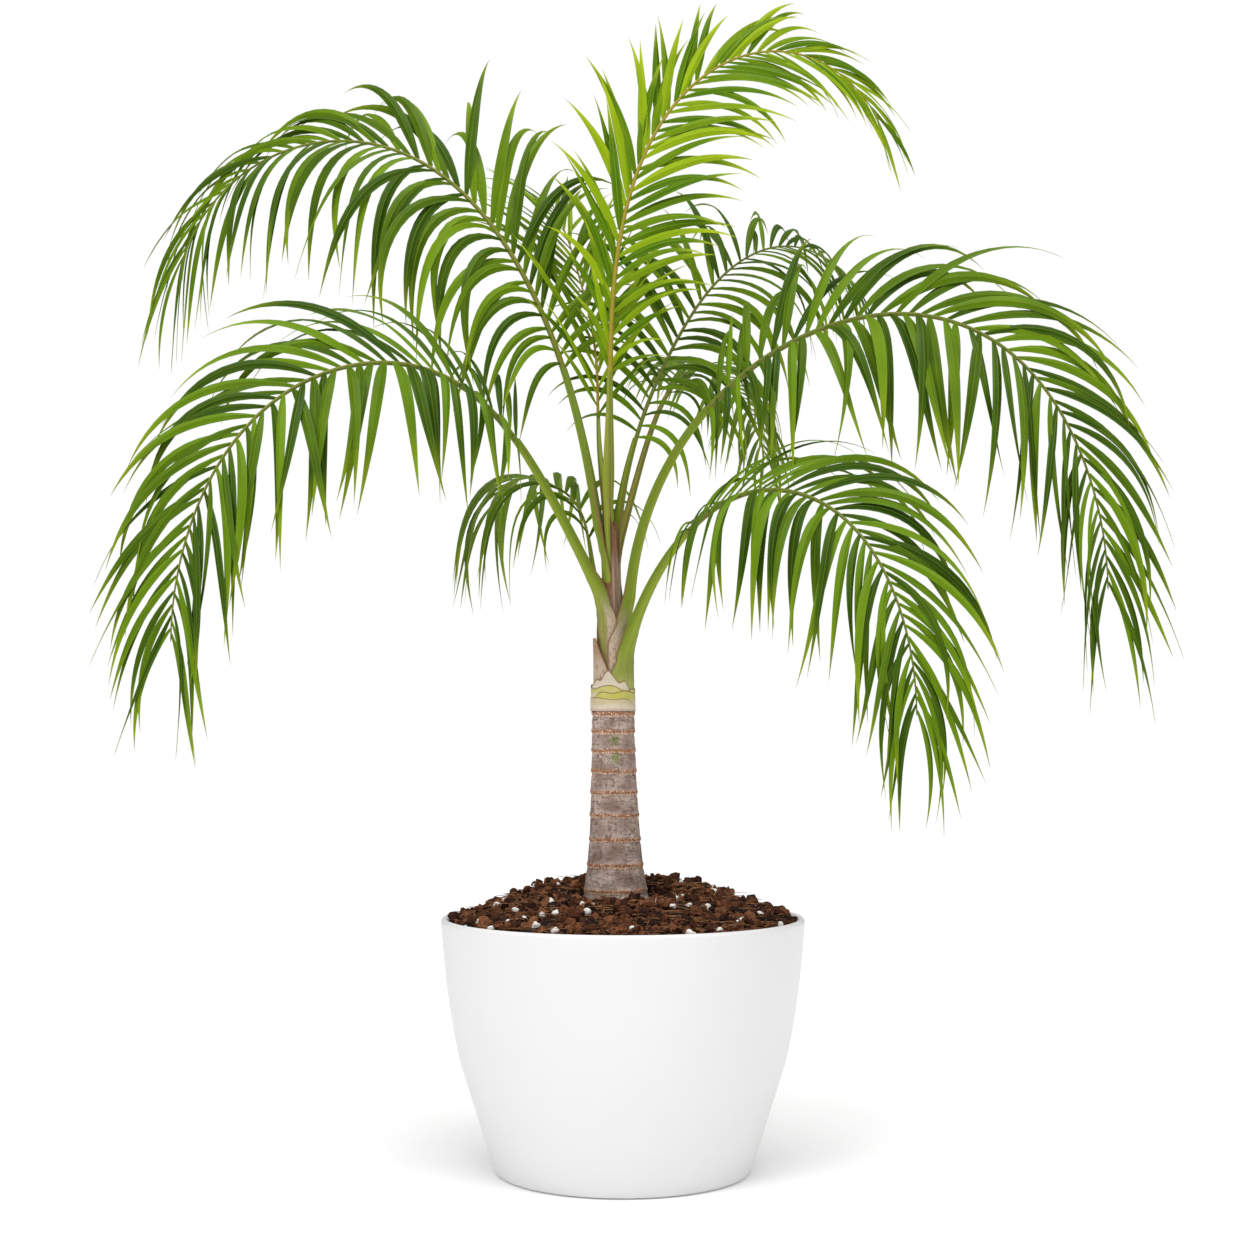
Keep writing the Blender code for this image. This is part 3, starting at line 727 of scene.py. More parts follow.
def settle(piece: bpy.types.Object, slot: str, *nodes: str) -> None:
    """Rides a piece on the body and lets it stand for CAD nodes, which it hides."""
    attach(piece, BODY)
    if nodes:
        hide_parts(*nodes)


def report(piece: bpy.types.Object) -> None:
    """Logs one finished piece."""
    log.info("%s: %d faces", piece.name, len(piece.data.polygons))


# Planter


@dataclass
class Planter:
    """The round tapered planter with its rolled rim."""

    wall: float = 0.010
    floor: float = 0.012
    sides: int = 128
    outline: tuple[tuple[float, float], ...] = (
        (0.000, 0.1700),
        (0.004, 0.1750),
        (0.016, 0.1805),
        (0.053, 0.1920),
        (0.100, 0.2070),
        (0.156, 0.2247),
        (0.219, 0.2370),
        (0.277, 0.2445),
        (0.338, 0.2500),
    )
    foot: tuple[tuple[float, float], ...] = (
        (0.1680, 0.0),
        (0.1680, 0.0019),
        (0.1744, 0.0023),
        (0.1757, 0.0044),
    )
    rim: tuple[tuple[float, float], ...] = (
        (0.2500, 0.3385),
        (0.2497, 0.3408),
        (0.2488, 0.3425),
        (0.2474, 0.3436),
        (0.2455, 0.3440),
        (0.2436, 0.3437),
        (0.2419, 0.3426),
        (0.2407, 0.3408),
        (0.2402, 0.3385),
    )
    finish: PlanterFinish = field(default_factory=PlanterFinish)

    def radius(self, height: float) -> float:
        """Outer radius at a height."""
        return table(self.outline, height)

    def build(self) -> bpy.types.Object:
        """Turns the shell, from its underside up over the rim and down inside."""
        side = [(radius, height) for height, radius in curved(self.outline[2:], 4)][:-1]
        stations = [*self.foot, *side, *self.rim]
        for height in (0.330, 0.277, 0.219, 0.156, 0.100, 0.053, 0.026):
            stations.append((self.radius(height) - self.wall, height))
        inner = self.radius(self.floor) - self.wall
        stations += [(inner - 0.002, 0.0165), (inner - 0.007, 0.0130), (inner - 0.014, self.floor)]
        piece = Bench.turned("planter", stations, self.sides)
        piece.data.materials.append(self.finish.material())
        Bench.smooth_shade(piece, 50.0)
        settle(piece, "pot_plastic", "pot")
        return piece


# Soil


@dataclass
class Soil:
    """The potting mix: a rough mound with loose crumbs, coir fibres and perlite on it."""

    planter: Planter
    seat_radius: float = 0.040
    seat_height: float = 0.3630
    mound_height: float = 0.371
    mound_radius: float = 0.080
    edge_height: float = 0.336
    side_gap: float = 0.0006
    crumbs: int = 4600
    fibres: int = 2100
    grains: int = 78
    clods: int = 900
    heap: float = 0.013
    dip: float = 0.015
    trunk_x: float = -0.010
    trunk_room: float = 0.049

    def edge(self) -> float:
        """Radius at which the soil meets the planter's wall."""
        return self.planter.radius(self.edge_height) - self.planter.wall - self.side_gap

    def surface(self, radius: float) -> float:
        """Height of the smooth mound at a distance from the planter's axis."""
        share = (radius - self.mound_radius) / (self.edge() - self.mound_radius)
        return blend(self.mound_height, self.edge_height, smooth(share * 0.9) / smooth(0.9))

    def lift(self, x: float, y: float) -> float:
        """How much the mound is heaped higher behind the trunk than in front of it."""
        reach = math.hypot(x, y)
        heap = self.heap * smooth((y + 0.05) / 0.13) * smooth((self.edge() - reach) / 0.10)
        return heap - self.dip * smooth((0.105 - reach) / 0.05) * smooth((0.03 - y) / 0.05)

    def _mound(self) -> bpy.types.Object:
        """The body of the soil, rough on top."""
        clear = self.planter.floor + 0.0005
        stations = [(self.planter.radius(self.planter.floor) - self.planter.wall - 0.016, clear)]
        for height in (0.032, 0.100, 0.219, 0.300, 0.325):
            stations.append((self.planter.radius(height) - self.planter.wall - self.side_gap, height))
        for radius in np.linspace(self.edge(), self.mound_radius, 26):
            stations.append((float(radius), self.surface(float(radius))))
        for radius in (0.072, 0.064, 0.056, 0.048, self.seat_radius):
            stations.append((radius, self.surface(radius) if radius > 0.05 else self.seat_height + 0.004))
        piece = Bench.turned("soil_mound", stations, 144)
        chance = np.random.default_rng(7)
        turns = (0, 6.28)
        waves = [
            (chance.uniform(30, 210), chance.uniform(*turns), chance.uniform(*turns))
            for _ in range(22)
        ]
        for vert in piece.data.vertices:
            reach = math.hypot(vert.co.x, vert.co.y)
            if vert.co.z < self.edge_height - 0.0005 or reach < self.seat_radius + 0.001:
                continue
            lift = 0.0
            for pitch, turn, phase in waves:
                lift += math.sin((vert.co.x * math.cos(turn) + vert.co.y * math.sin(turn)) * pitch + phase)
            vert.co.z += 0.0011 * lift + chance.uniform(-0.0016, 0.0016)
            vert.co.z = min(vert.co.z, self.surface(reach) + 0.006) + self.lift(vert.co.x, vert.co.y)
        # Painted shade: the mound between the crumbs gets a low tone and far darker browns than the crumbs,
        # as the shade among them.
        tones = piece.data.attributes.new("tone", "FLOAT", "POINT")
        tones.data.foreach_set("value", np.full(len(piece.data.vertices), 0.15, np.float32))
        finish = SoilFinish("soil_ground_painted_shade", (0.006, 0.002, 0.001), (0.022, 0.008, 0.004), (0.07, 0.026, 0.012))
        piece.data.materials.append(finish.material())
        Bench.smooth_shade(piece, 60.0)
        settle(piece, "soil", "soil")
        return piece

    def _spot(self, chance: np.random.Generator, inset: float) -> np.ndarray:
        """A place on the mound, clear of the wall and of the trunk."""
        while True:
            reach = math.sqrt(chance.uniform(0.0, 1.0)) * (self.edge() - inset)
            turn = chance.uniform(0, 2 * math.pi)
            spot = np.array([reach * math.cos(turn), reach * math.sin(turn), 0.0])
            if math.hypot(spot[0] - self.trunk_x, spot[1]) > self.trunk_room + inset * 0.5:
                spot[2] = self.surface(reach) + self.lift(spot[0], spot[1])
                return spot

    def _lumps(
        self,
        name: str,
        count: int,
        detail: int,
        sizes: tuple[float, float],
        seed: int,
    ) -> bpy.types.Object:
        """Loose angular lumps, each a knocked-about ball of few faces.

        Args:
            name: name of the piece.
            count: how many.
            detail: how finely the ball is divided.
            sizes: least and greatest radius.
            seed: seed of the random draws.

        Returns:
            The joined piece.
        """
        bpy.ops.mesh.primitive_ico_sphere_add(subdivisions=detail, radius=1.0)
        pattern = bpy.context.object
        ball = np.array([vert.co for vert in pattern.data.vertices])
        faces = [list(face.vertices) for face in pattern.data.polygons]
        bpy.data.objects.remove(pattern)
        chance = np.random.default_rng(seed)
        joined = Joined()
        for _ in range(count):
            size = chance.uniform(*sizes)
            stretch = chance.uniform(0.45, 1.55, 3) * size
            spin = np.linalg.qr(chance.normal(size=(3, 3)))[0]
            lumpy = ball * (1.0 + chance.uniform(-0.38, 0.30, (len(ball), 1)))
            spot = self._spot(chance, size)
            spot[2] += chance.uniform(0.0, 0.0015) + size * chance.uniform(0.0, 1.0)
            points = (lumpy * stretch) @ spin.T + spot
            joined.add(points, faces, tone=np.full(len(points), chance.uniform(0.05, 0.95)))
        finish = SoilFinish(name, (0.014, 0.0045, 0.002), (0.078, 0.024, 0.009), (0.30, 0.120, 0.050))
        return joined.piece(name, finish.material(), 35.0)

    def _fibres(self) -> bpy.types.Object:
        """Short bent strands of coir."""
        chance = np.random.default_rng(23)
        joined = Joined()
        steps, sides = 7, 4
        for _ in range(self.fibres):
            spot = self._spot(chance, 0.012)
            spot[2] += chance.uniform(0.001, 0.006)
            length = chance.uniform(0.010, 0.036)
            thick = chance.uniform(0.00035, 0.00080)
            turn, bend = chance.uniform(0, 6.28), chance.uniform(-2.6, 2.6)
            lift = chance.uniform(-0.15, 0.55)
            rows = []
            point = spot
            for step in range(steps):
                share = step / (steps - 1)
                angle = turn + bend * share
                rise = lift * (1.0 - 1.7 * share)
                way = unit(np.array([math.cos(angle), math.sin(angle), rise]))
                side = unit(np.cross(way, UP))
                upper = np.cross(side, way)
                radius = thick * (1.0 - 0.7 * share)
                for corner in range(sides):
                    around = 2 * math.pi * corner / sides
                    rows.append(point + radius * (math.cos(around) * side + math.sin(around) * upper))
                point = point + way * length / (steps - 1)
            rows = np.array(rows)
            reach = np.hypot(rows[:, 0], rows[:, 1])
            rows[:, :2] *= np.minimum(1.0, (self.edge() - 0.001) / reach)[:, None]
            joined.add(rows, loft(steps, sides, False), tone=np.full(steps * sides, chance.uniform(0.4, 1.0)))
        finish = SoilFinish("coir_fibres", (0.090, 0.035, 0.014), (0.24, 0.105, 0.045), (0.50, 0.270, 0.130))
        return joined.piece("soil_fibres", finish.material(), 80.0)

    def _grains(self) -> bpy.types.Object:
        """Rounded white perlite."""
        bpy.ops.mesh.primitive_ico_sphere_add(subdivisions=3, radius=1.0)
        pattern = bpy.context.object
        ball = np.array([vert.co for vert in pattern.data.vertices])
        faces = [list(face.vertices) for face in pattern.data.polygons]
        bpy.data.objects.remove(pattern)
        chance = np.random.default_rng(31)
        joined = Joined()
        for _ in range(self.grains):
            size = chance.uniform(0.0030, 0.0068)
            waves = chance.normal(size=(4, 3)) * 1.9
            phases = chance.uniform(0, 6.28, 4)
            lumpy = ball * (1.0 + 0.07 * np.sin(ball @ waves.T + phases).sum(axis=1, keepdims=True))
            spot = self._spot(chance, 0.008)
            spot[2] += chance.uniform(0.002, 0.0055)
            points = lumpy * size * chance.uniform(0.8, 1.15, 3) + spot
            joined.add(points, faces)
        return joined.piece("perlite_grains", PerliteFinish().material(), 75.0)

    def build(self) -> list[bpy.types.Object]:
        """Builds the mound and what lies on it."""
        pieces = [self._mound()]
        crumbs = self._lumps("soil_crumbs", self.crumbs, 1, (0.0014, 0.0034), 19)
        clods = self._lumps("soil_clods", self.clods, 2, (0.0038, 0.0078), 20)
        for piece in (crumbs, clods, self._fibres(), self._grains()):
            settle(piece, "soil")
            pieces.append(piece)
        return pieces


# Trunk


def stem_x(height: float) -> float:
    """The stem leans a little to the left as it rises."""
    return -0.0100 - 0.0040 * min(max((height - 0.36) / 0.28, 0.0), 1.0) - 0.030 * max(height - 0.70, 0.0)


@dataclass
class Trunk:
    """The ringed trunk, from the soil to the leaf bases."""

    foot: float = 0.3470
    top: float = 0.6520
    sides: int = 112
    step: float = 0.0013
    taper: tuple[tuple[float, float], ...] = (
        (0.3600, 0.0480),
        (0.3700, 0.0455),
        (0.3810, 0.0432),
        (0.4150, 0.0386),
        (0.4530, 0.0350),
        (0.5140, 0.0319),
        (0.5720, 0.0300),
        (0.6230, 0.0294),
        (0.6600, 0.0296),
    )
    rings: tuple[float, ...] = (
        0.3802,
        0.4151,
        0.4502,
        0.4833,
        0.5142,
        0.5437,
        0.5722,
        0.5987,
        0.6231,
        0.6390,
    )
    ring_half: float = 0.0030
    ring_out: float = 0.0011
    ring_in: float = 0.0008

    def radius(self, height: float) -> float:
        """Radius with the ring scars' ridges: proud just above each ring, tucked in just below."""
        found = table(self.taper, height)
        for ring in self.rings:
            above = (height - ring - 0.0012) / self.ring_half
            below = (height - ring + 0.0038) / self.ring_half
            found += self.ring_out * math.exp(-above * above) - self.ring_in * math.exp(-below * below)
        return found

    def build(self) -> bpy.types.Object:
        """Draws the trunk out ring by ring, then roughens and leans it."""
        count = round((self.top - self.foot) / self.step)
        heights = [self.foot + (self.top - self.foot) * i / count for i in range(count + 1)]
        stations = [(self.radius(height), height) for height in heights]
        piece = Bench.turned("trunk_bark", stations, self.sides)
        Bench.roughen(piece, 0.030, 0.0016)
        Bench.roughen(piece, 0.006, 0.0007)
        for vert in piece.data.vertices:
            vert.co.x += stem_x(vert.co.z)
        piece.data.materials.append(BarkFinish(self.rings, self.foot, self.top + 0.01).material())
        Bench.smooth_shade(piece, 60.0)
        settle(piece, "bark", "trunk")
        return piece


# Fronds


class Age(Enum):
    """How far on a frond is."""

    MATURE = "mature"
    YOUNG = "young"


@dataclass(frozen=True)
class Frond:
    """One leaf of the palm, by the same rule as its solid.

    turn is the compass angle of the rib's plane in degrees, from +X towards +Y. leans holds the rib's
    angle from upright at five even stations. spread_far and spread_near are the angles between leaflet
    and rib at the foot, the middle and the tip of the blade, for the side away from the front and the
    side towards it. roll turns the blade about its rib, rise lifts both sides to a V, and limp says how
    far a leaflet gives way to its own weight. fresh shifts its greens from deep to yellow.
    """

    place: str
    turn: float
    layer: float
    leave_height: float
    length: float
    leans: tuple[float, ...]
    stalk: float
    stalk_width: float
    stalk_depth: float
    pairs: int
    leaf: float
    leaf_width: float
    roll: float
    rise: float
    limp: float
    spread_far: tuple[float, float, float]
    spread_near: tuple[float, float, float]
    fresh: float = 0.3
    age: Age = Age.MATURE


FRONDS = (
    Frond("lower_right", -46, 0.0278, 0.717, 0.753, (22, 54, 102, 147, 180), 0.25, 0.017, 0.0110, 39,
          0.245, 0.014, 32, 24, 1.6, (60, 45, 26), (74, 57, 32), 0.25),
    Frond("upper_right", -20, 0.0228, 0.769, 1.103, (2, 40, 84, 145, 180), 0.27, 0.019, 0.0110, 45,
          0.272, 0.017, 42, 24, 1.4, (62, 48, 32), (78, 62, 36), 0.30),
    Frond("back_left", 130, 0.0203, 0.777, 0.380, (23, 14, 61, 83, 144), 0.25, 0.009, 0.0080, 13,
          0.265, 0.013, 0, 25, 2.2, (44, 34, 22), (50, 38, 24), 0.55),
    Frond("lower_left", -150, 0.0178, 0.795, 0.965, (28, 41, 101, 148, 180), 0.24, 0.018, 0.0110, 44,
          0.262, 0.016, 36, 26, 1.5, (62, 48, 30), (78, 62, 34), 0.25),
    Frond("back_right_low", 70, 0.0153, 0.834, 0.943, (34, 40, 69, 98, 134), 0.38, 0.011, 0.0080, 31,
          0.200, 0.013, 10, 25, 1.7, (62, 46, 24), (74, 58, 30), 0.40),
    Frond("back_right", 45, 0.0128, 0.881, 0.790, (9, 27, 42, 72, 120), 0.17, 0.013, 0.0080, 34,
          0.235, 0.014, 40, 22, 1.3, (60, 46, 28), (76, 58, 32), 0.45),
    Frond("upper_left", 166, 0.0103, 0.872, 1.090, (7, 20, 45, 98, 163), 0.22, 0.018, 0.0110, 46,
          0.290, 0.017, 46, 22, 1.6, (46, 36, 26), (80, 66, 42), 0.35),
    Frond("back_young", 112, 0.0080, 0.932, 0.533, (27, 2, 28, 36, 49), 0.22, 0.009, 0.0070, 22,
          0.220, 0.011, 0, 20, 0.5, (30, 26, 20), (34, 28, 20), 0.75, Age.YOUNG),
    Frond("top", 26, 0.0000, 0.928, 1.000, (1, 3, 25, 70, 145), 0.17, 0.017, 0.0170, 50,
          0.188, 0.015, 62, 20, 0.85, (24, 26, 22), (54, 46, 26), 0.85, Age.YOUNG),
)


class Plane:
    """An upright plane through the stem, with the level directions along it and square to it."""

    def __init__(self, turn: float) -> None:
        """Sets the plane by its compass angle in degrees."""
        angle = math.radians(turn)
        self.out = np.array([math.cos(angle), math.sin(angle), 0.0])
        self.side = np.array([math.sin(angle), -math.cos(angle), 0.0])


class Rib(Plane):
    """The centre line of one frond in its upright plane."""

    stations = 240
    foot_radius = 0.0045
    tip_radius = 0.0009

    def __init__(self, frond: Frond) -> None:
        """Walks the rib out from the stem, by its lean at each station."""
        super().__init__(frond.turn)
        self.frond = frond
        reach = frond.layer + frond.stalk_depth / 2 if frond.layer else 0.0
        height = frond.leave_height
        self.points = [np.array([stem_x(height), 0.0, height]) + self.out * reach]
        self.ways: list[np.ndarray] = []
        step = frond.length / self.stations
        for i in range(self.stations):
            lean = math.radians(self._lean((i + 0.5) / self.stations))
            way = math.sin(lean) * self.out + math.cos(lean) * UP
            self.ways.append(way)
            self.points.append(self.points[-1] + way * step)
        self.ways.append(self.ways[-1])

    def _lean(self, share: float) -> float:
        """The rib's lean in degrees, a smooth curve through the five given ones."""
        leans = self.frond.leans
        spans = len(leans) - 1
        index = min(int(share * spans), spans - 1)
        t = share * spans - index
        slopes = [leans[1] - leans[0]]
        slopes += [(leans[i + 1] - leans[i - 1]) / 2 for i in range(1, spans)]
        slopes.append(leans[-1] - leans[-2])
        start = (2 * t**3 - 3 * t**2 + 1) * leans[index] + (t**3 - 2 * t**2 + t) * slopes[index]
        end = (3 * t**2 - 2 * t**3) * leans[index + 1] + (t**3 - t**2) * slopes[index + 1]
        return start + end

    def at(self, distance: float) -> tuple[np.ndarray, np.ndarray]:
        """Point and direction at a distance along the rib."""
        place = min(max(distance / self.frond.length, 0.0), 1.0) * self.stations
        index = min(int(place), self.stations - 1)
        point = self.points[index] + (self.points[index + 1] - self.points[index]) * (place - index)
        following = self.ways[min(index + 1, self.stations)]
        return point, unit(self.ways[index] * (1 - place + index) + following * (place - index))

    def radius(self, distance: float) -> float:
        """Radius of the rib's blade part."""
        share = (distance / self.frond.length - self.frond.stalk) / (1 - self.frond.stalk)
        start = self.foot_radius * self.frond.stalk_width / 0.018
        return blend(start, self.tip_radius, min(max(share, 0.0), 1.0) ** 0.8)


def crescent(
    centre: np.ndarray,
    way: np.ndarray,
    plane: Plane,
    bend_radius: float,
    half_wrap: float,
    depth: float,
    facets: int,
    skew: float = 0.0,
) -> list[np.ndarray]:
    """A section that is hollow towards the stem and round on its outer side.

    Args:
        centre: middle of the section.
        way: direction of the stem or stalk there.
        plane: the frond's plane.
        bend_radius: radius of the hollow side.
        half_wrap: half of the angle it wraps, in radians.
        depth: thickness in its middle.
        facets: facets on each side.
        skew: how much further it wraps on one side, the plane's own side if above 0.

    Returns:
        Its points, along the hollow side and back along the outer one.
    """
    outward = unit(np.cross(way, plane.side))
    inner, outer = [], []
    edge = 0.0009
    for i in range(facets + 1):
        share = 2.0 * i / facets - 1.0
        turn = share * half_wrap * (1.0 + max(0.0, skew * share))
        thick = edge + (depth - edge) * math.sqrt(max(1.0 - share * share, 0.0))
        for row, reach in ((inner, bend_radius + 0.0001), (outer, bend_radius + thick)):
            along = reach * math.cos(turn) - bend_radius - depth / 2
            row.append(centre + plane.side * (reach * math.sin(turn)) + outward * along)
    return inner + outer[::-1]


@dataclass
class LeafBase:
    """The sheath of one frond round the stem, and its stalk up to the first leaflet."""

    frond: Frond
    rib: Rib
    finish: StemFinish
    foot: float = 0.6523
    wall: float = 0.0020
    wrap: float = 90.0
    taper: float = 0.085
    skew: float = 0.0
    swell: float = 0.035
    fillet: float = 0.022
    settle_over: float = 0.050
    facets: int = 22
    overlap: float = 0.004
    sheath_half: float = 0.0
    sheath_depth: float = 0.0

    def _sheath(self) -> list[tuple[list[np.ndarray], np.ndarray]]:
        """Sections of the sheath, each with its middle."""
        frond = self.frond
        top = frond.leave_height - self.fillet
        rows = []
        for height in np.linspace(self.foot, top, max(10, round((top - self.foot) / 0.006))):
            narrow = smooth((height - frond.leave_height + self.taper) / self.taper)
            swell = smooth((height - frond.leave_height + self.swell) / self.swell)
            depth = blend(self.wall, frond.stalk_depth, swell)
            wrap = blend(math.radians(self.wrap), frond.stalk_width * 0.675 / frond.layer, narrow)
            centre = np.array([stem_x(height), 0.0, height]) + self.rib.out * (frond.layer + depth / 2)
            skew = self.skew * (1.0 - narrow)
            rows.append((crescent(centre, UP, self.rib, frond.layer, wrap, depth, self.facets, skew), centre))
        self.sheath_half = wrap * frond.layer
        self.sheath_depth = depth
        return rows

    def _stalk(self) -> list[tuple[list[np.ndarray], np.ndarray]]:
        """Sections of the bend out of the sheath and of the stalk, each with its middle."""
        frond, rib = self.frond, self.rib
        corner, _ = rib.at(0.0)
        beyond, _ = rib.at(self.fillet)
        below = corner - UP * self.fillet
        stations = []
        for t in np.linspace(0.0, 1.0, 10)[1:-1]:
            point = (1 - t) ** 2 * below + 2 * t * (1 - t) * corner + t * t * beyond
            way = unit((1 - t) * (corner - below) + t * (beyond - corner))
            stations.append((point, way, float(t) - 1.0))
        end = frond.stalk * frond.length + self.overlap
        for distance in np.linspace(self.fillet, end, max(8, round((end - self.fillet) / 0.007))):
            point, way = rib.at(float(distance))
            stations.append((point, way, float(distance)))
        half_width = frond.stalk_width / 2
        rows = []
        for point, way, distance in stations:
            eased = smooth(distance / self.settle_over)
            share = max(distance, 0.0) / end
            half = blend(half_width * 1.25, blend(half_width, rib.radius(end), share), eased)
            depth = blend(frond.stalk_depth, rib.radius(end) * 2, share)
            opened = 0.4 + 0.6 * eased
            if distance < 0.0:
                turned = smooth(distance + 1.0)
                half = blend(self.sheath_half, half, turned)
                opened *= turned
                depth = blend(self.sheath_depth, depth, turned)
                point = point - unit(np.cross(way, rib.side)) * (frond.stalk_depth - depth) / 2
            bend_radius = blend(frond.layer, max(3.0 * half_width, frond.layer), opened)
            wrap = half / bend_radius
            rows.append((crescent(point, way, rib, bend_radius, wrap, depth, self.facets), point))
        return rows

    def build(self) -> bpy.types.Object:
        """Lofts the sheath and the stalk as one closed body."""
        rows = self._sheath() + self._stalk()
        middles = np.array([middle for _, middle in rows])
        steps = np.linalg.norm(np.diff(middles, axis=0), axis=1)
        along = np.concatenate([[0.0], np.cumsum(steps)])
        round_share = np.linspace(0.0, 1.0, self.facets + 1)
        across = np.concatenate([round_share, round_share[::-1]])
        points = np.concatenate([section for section, _ in rows])
        lay = np.array([(share, distance) for distance in along for share in across])
        joined = Joined()
        joined.add(points, loft(len(rows), len(across), False), lay)
        piece = joined.piece(f"base_{self.frond.place}", self.finish.material(), 55.0)
        settle(piece, "green_base", f"leaf_base_{self.frond.place}")
        return piece


@dataclass
class Core:
    """The innermost leaf: a rolled stem that becomes the stalk of the top frond."""

    frond: Frond
    rib: Rib
    finish: StemFinish
    foot: float = 0.6523
    radius: float = 0.0071
    swell_from: float = 0.900
    swell_to: float = 0.965
    sides: int = 28

    def build(self) -> bpy.types.Object:
        """Lofts the rolled stem."""
        stations = []
        for height in np.linspace(self.foot, self.frond.leave_height, 30)[:-1]:
            stations.append((np.array([stem_x(height), 0.0, height]), UP, self.radius))
        end = self.frond.stalk * self.frond.length + 0.004
        for distance in np.linspace(0.0, end, 26):
            point, way = self.rib.at(float(distance))
            swell = smooth((point[2] - self.swell_from) / (self.swell_to - self.swell_from))
            radius = blend(self.radius, self.frond.stalk_width / 2, swell)
            stations.append((point, way, blend(radius, self.rib.radius(end), smooth(distance / end))))
        points, lay, travelled = [], [], 0.0
        before = stations[0][0]
        for point, way, radius in stations:
            travelled += float(np.linalg.norm(point - before))
            before = point
            outward = unit(np.cross(self.rib.side, way))
            for i in range(self.sides):
                turn = 2 * math.pi * i / self.sides
                points.append(point + radius * (math.cos(turn) * self.rib.side + math.sin(turn) * outward))
                lay.append((i / self.sides, travelled))
        joined = Joined()
        joined.add(np.array(points), loft(len(stations), self.sides, False), np.array(lay))
        piece = joined.piece(f"base_{self.frond.place}", self.finish.material(), 55.0)
        settle(piece, "green_base", f"leaf_base_{self.frond.place}")
        return piece


@dataclass
class OldBase:
    """The dead leaf base low on the left, whose stalk is gone."""

    turn: float = -170
    layer: float = 0.0253
    foot: float = 0.6523
    top: float = 0.728
    wall: float = 0.0020
    wrap: float = 95.0
    tip_wrap: float = 16.0
    facets: int = 26
    finish: StemFinish = StemFinish(
        "old_leaf_base",
        foot=(0.46, 0.36, 0.25),
        sheath=(0.52, 0.43, 0.31),
        stalk=(0.42, 0.27, 0.15),
        stripe_and_edge_shade=(0.34, 0.22, 0.13),
        sheath_height=0.06,
        dry=1.0,
    )

    def build(self) -> bpy.types.Object:
        """Lofts the dry scale up to its torn point."""
        plane = Plane(self.turn)
        count = 26
        points, lay = [], []
        for step in range(count):
            share = step / (count - 1)
            height = blend(self.foot, self.top, share)
            wrap = math.radians(blend(self.wrap, self.tip_wrap, share**1.15))
            centre = np.array([stem_x(height), 0.0, height]) + plane.out * (self.layer + self.wall / 2)
            section = crescent(centre, UP, plane, self.layer, wrap, self.wall, self.facets)
            points += section
            turns = np.linspace(0.0, 1.0, self.facets + 1)
            lay += [(turn, height - self.foot) for turn in np.concatenate([turns, turns[::-1]])]
        joined = Joined()
        joined.add(np.array(points), loft(count, 2 * (self.facets + 1), False), np.array(lay))
        piece = joined.piece("base_old", self.finish.material(), 55.0)
        settle(piece, "dry_base", "leaf_base_old")
        return piece


@dataclass
class PaperySheath:
    """A dry fibrous sheath that closes the stem between the green ones, torn off slantwise at its top."""

    name: str
    turn: float
    radii: tuple[float, float]
    foot: float
    top: float
    half_wrap: float
    slant: float
    seed: int
    finish: StemFinish
    peak: float = 0.0
    wall: float = 0.0009
    wrinkles: float = 0.00035
    facets: int = 64
    rows: int = 30

    def build(self) -> bpy.types.Object:
        """Lofts the shell, thin at its torn edge."""
        plane = Plane(self.turn)
        chance = np.random.default_rng(self.seed)
        tears = [(chance.uniform(3, 19), chance.uniform(0, 6.28), chance.uniform(0.2, 1.0)) for _ in range(6)]
        shares = np.linspace(-1.0, 1.0, self.facets + 1)
        torn = [
            self.slant * share
            + self.peak * (1.0 - abs(share))
            + 0.0022 * sum(size * math.sin(pitch * share + phase) for pitch, phase, size in tears)
            for share in shares
        ]
        points, lay, rim = [], [], []
        for row in range(self.rows):
            rise = row / (self.rows - 1)
            radius = blend(*self.radii, rise)
            wall = self.wall * (1.0 - 0.75 * rise)
            for order, reach in ((1, radius), (-1, radius + wall)):
                for share, tear in list(zip(shares, torn))[::order]:
                    height = self.foot + (self.top - self.foot + tear) * rise
                    around = math.radians(self.half_wrap) * share
                    wrinkle = self.wrinkles * math.sin(share * 41.0 + rise * 5.0)
                    way = plane.out * math.cos(around) + plane.side * math.sin(around)
                    centre = np.array([stem_x(height), 0.0, height])
                    points.append(centre + way * (reach + wrinkle))
                    lay.append(((share + 1.0) / 2.0, height - self.foot))
                    rim.append(rise)
        joined = Joined()
        faces = loft(self.rows, 2 * (self.facets + 1), False)
        joined.add(np.array(points), faces, np.array(lay), rim=np.array(rim))
        piece = joined.piece(self.name, self.finish.material(), 50.0)
        settle(piece, "dry_base")
        return piece


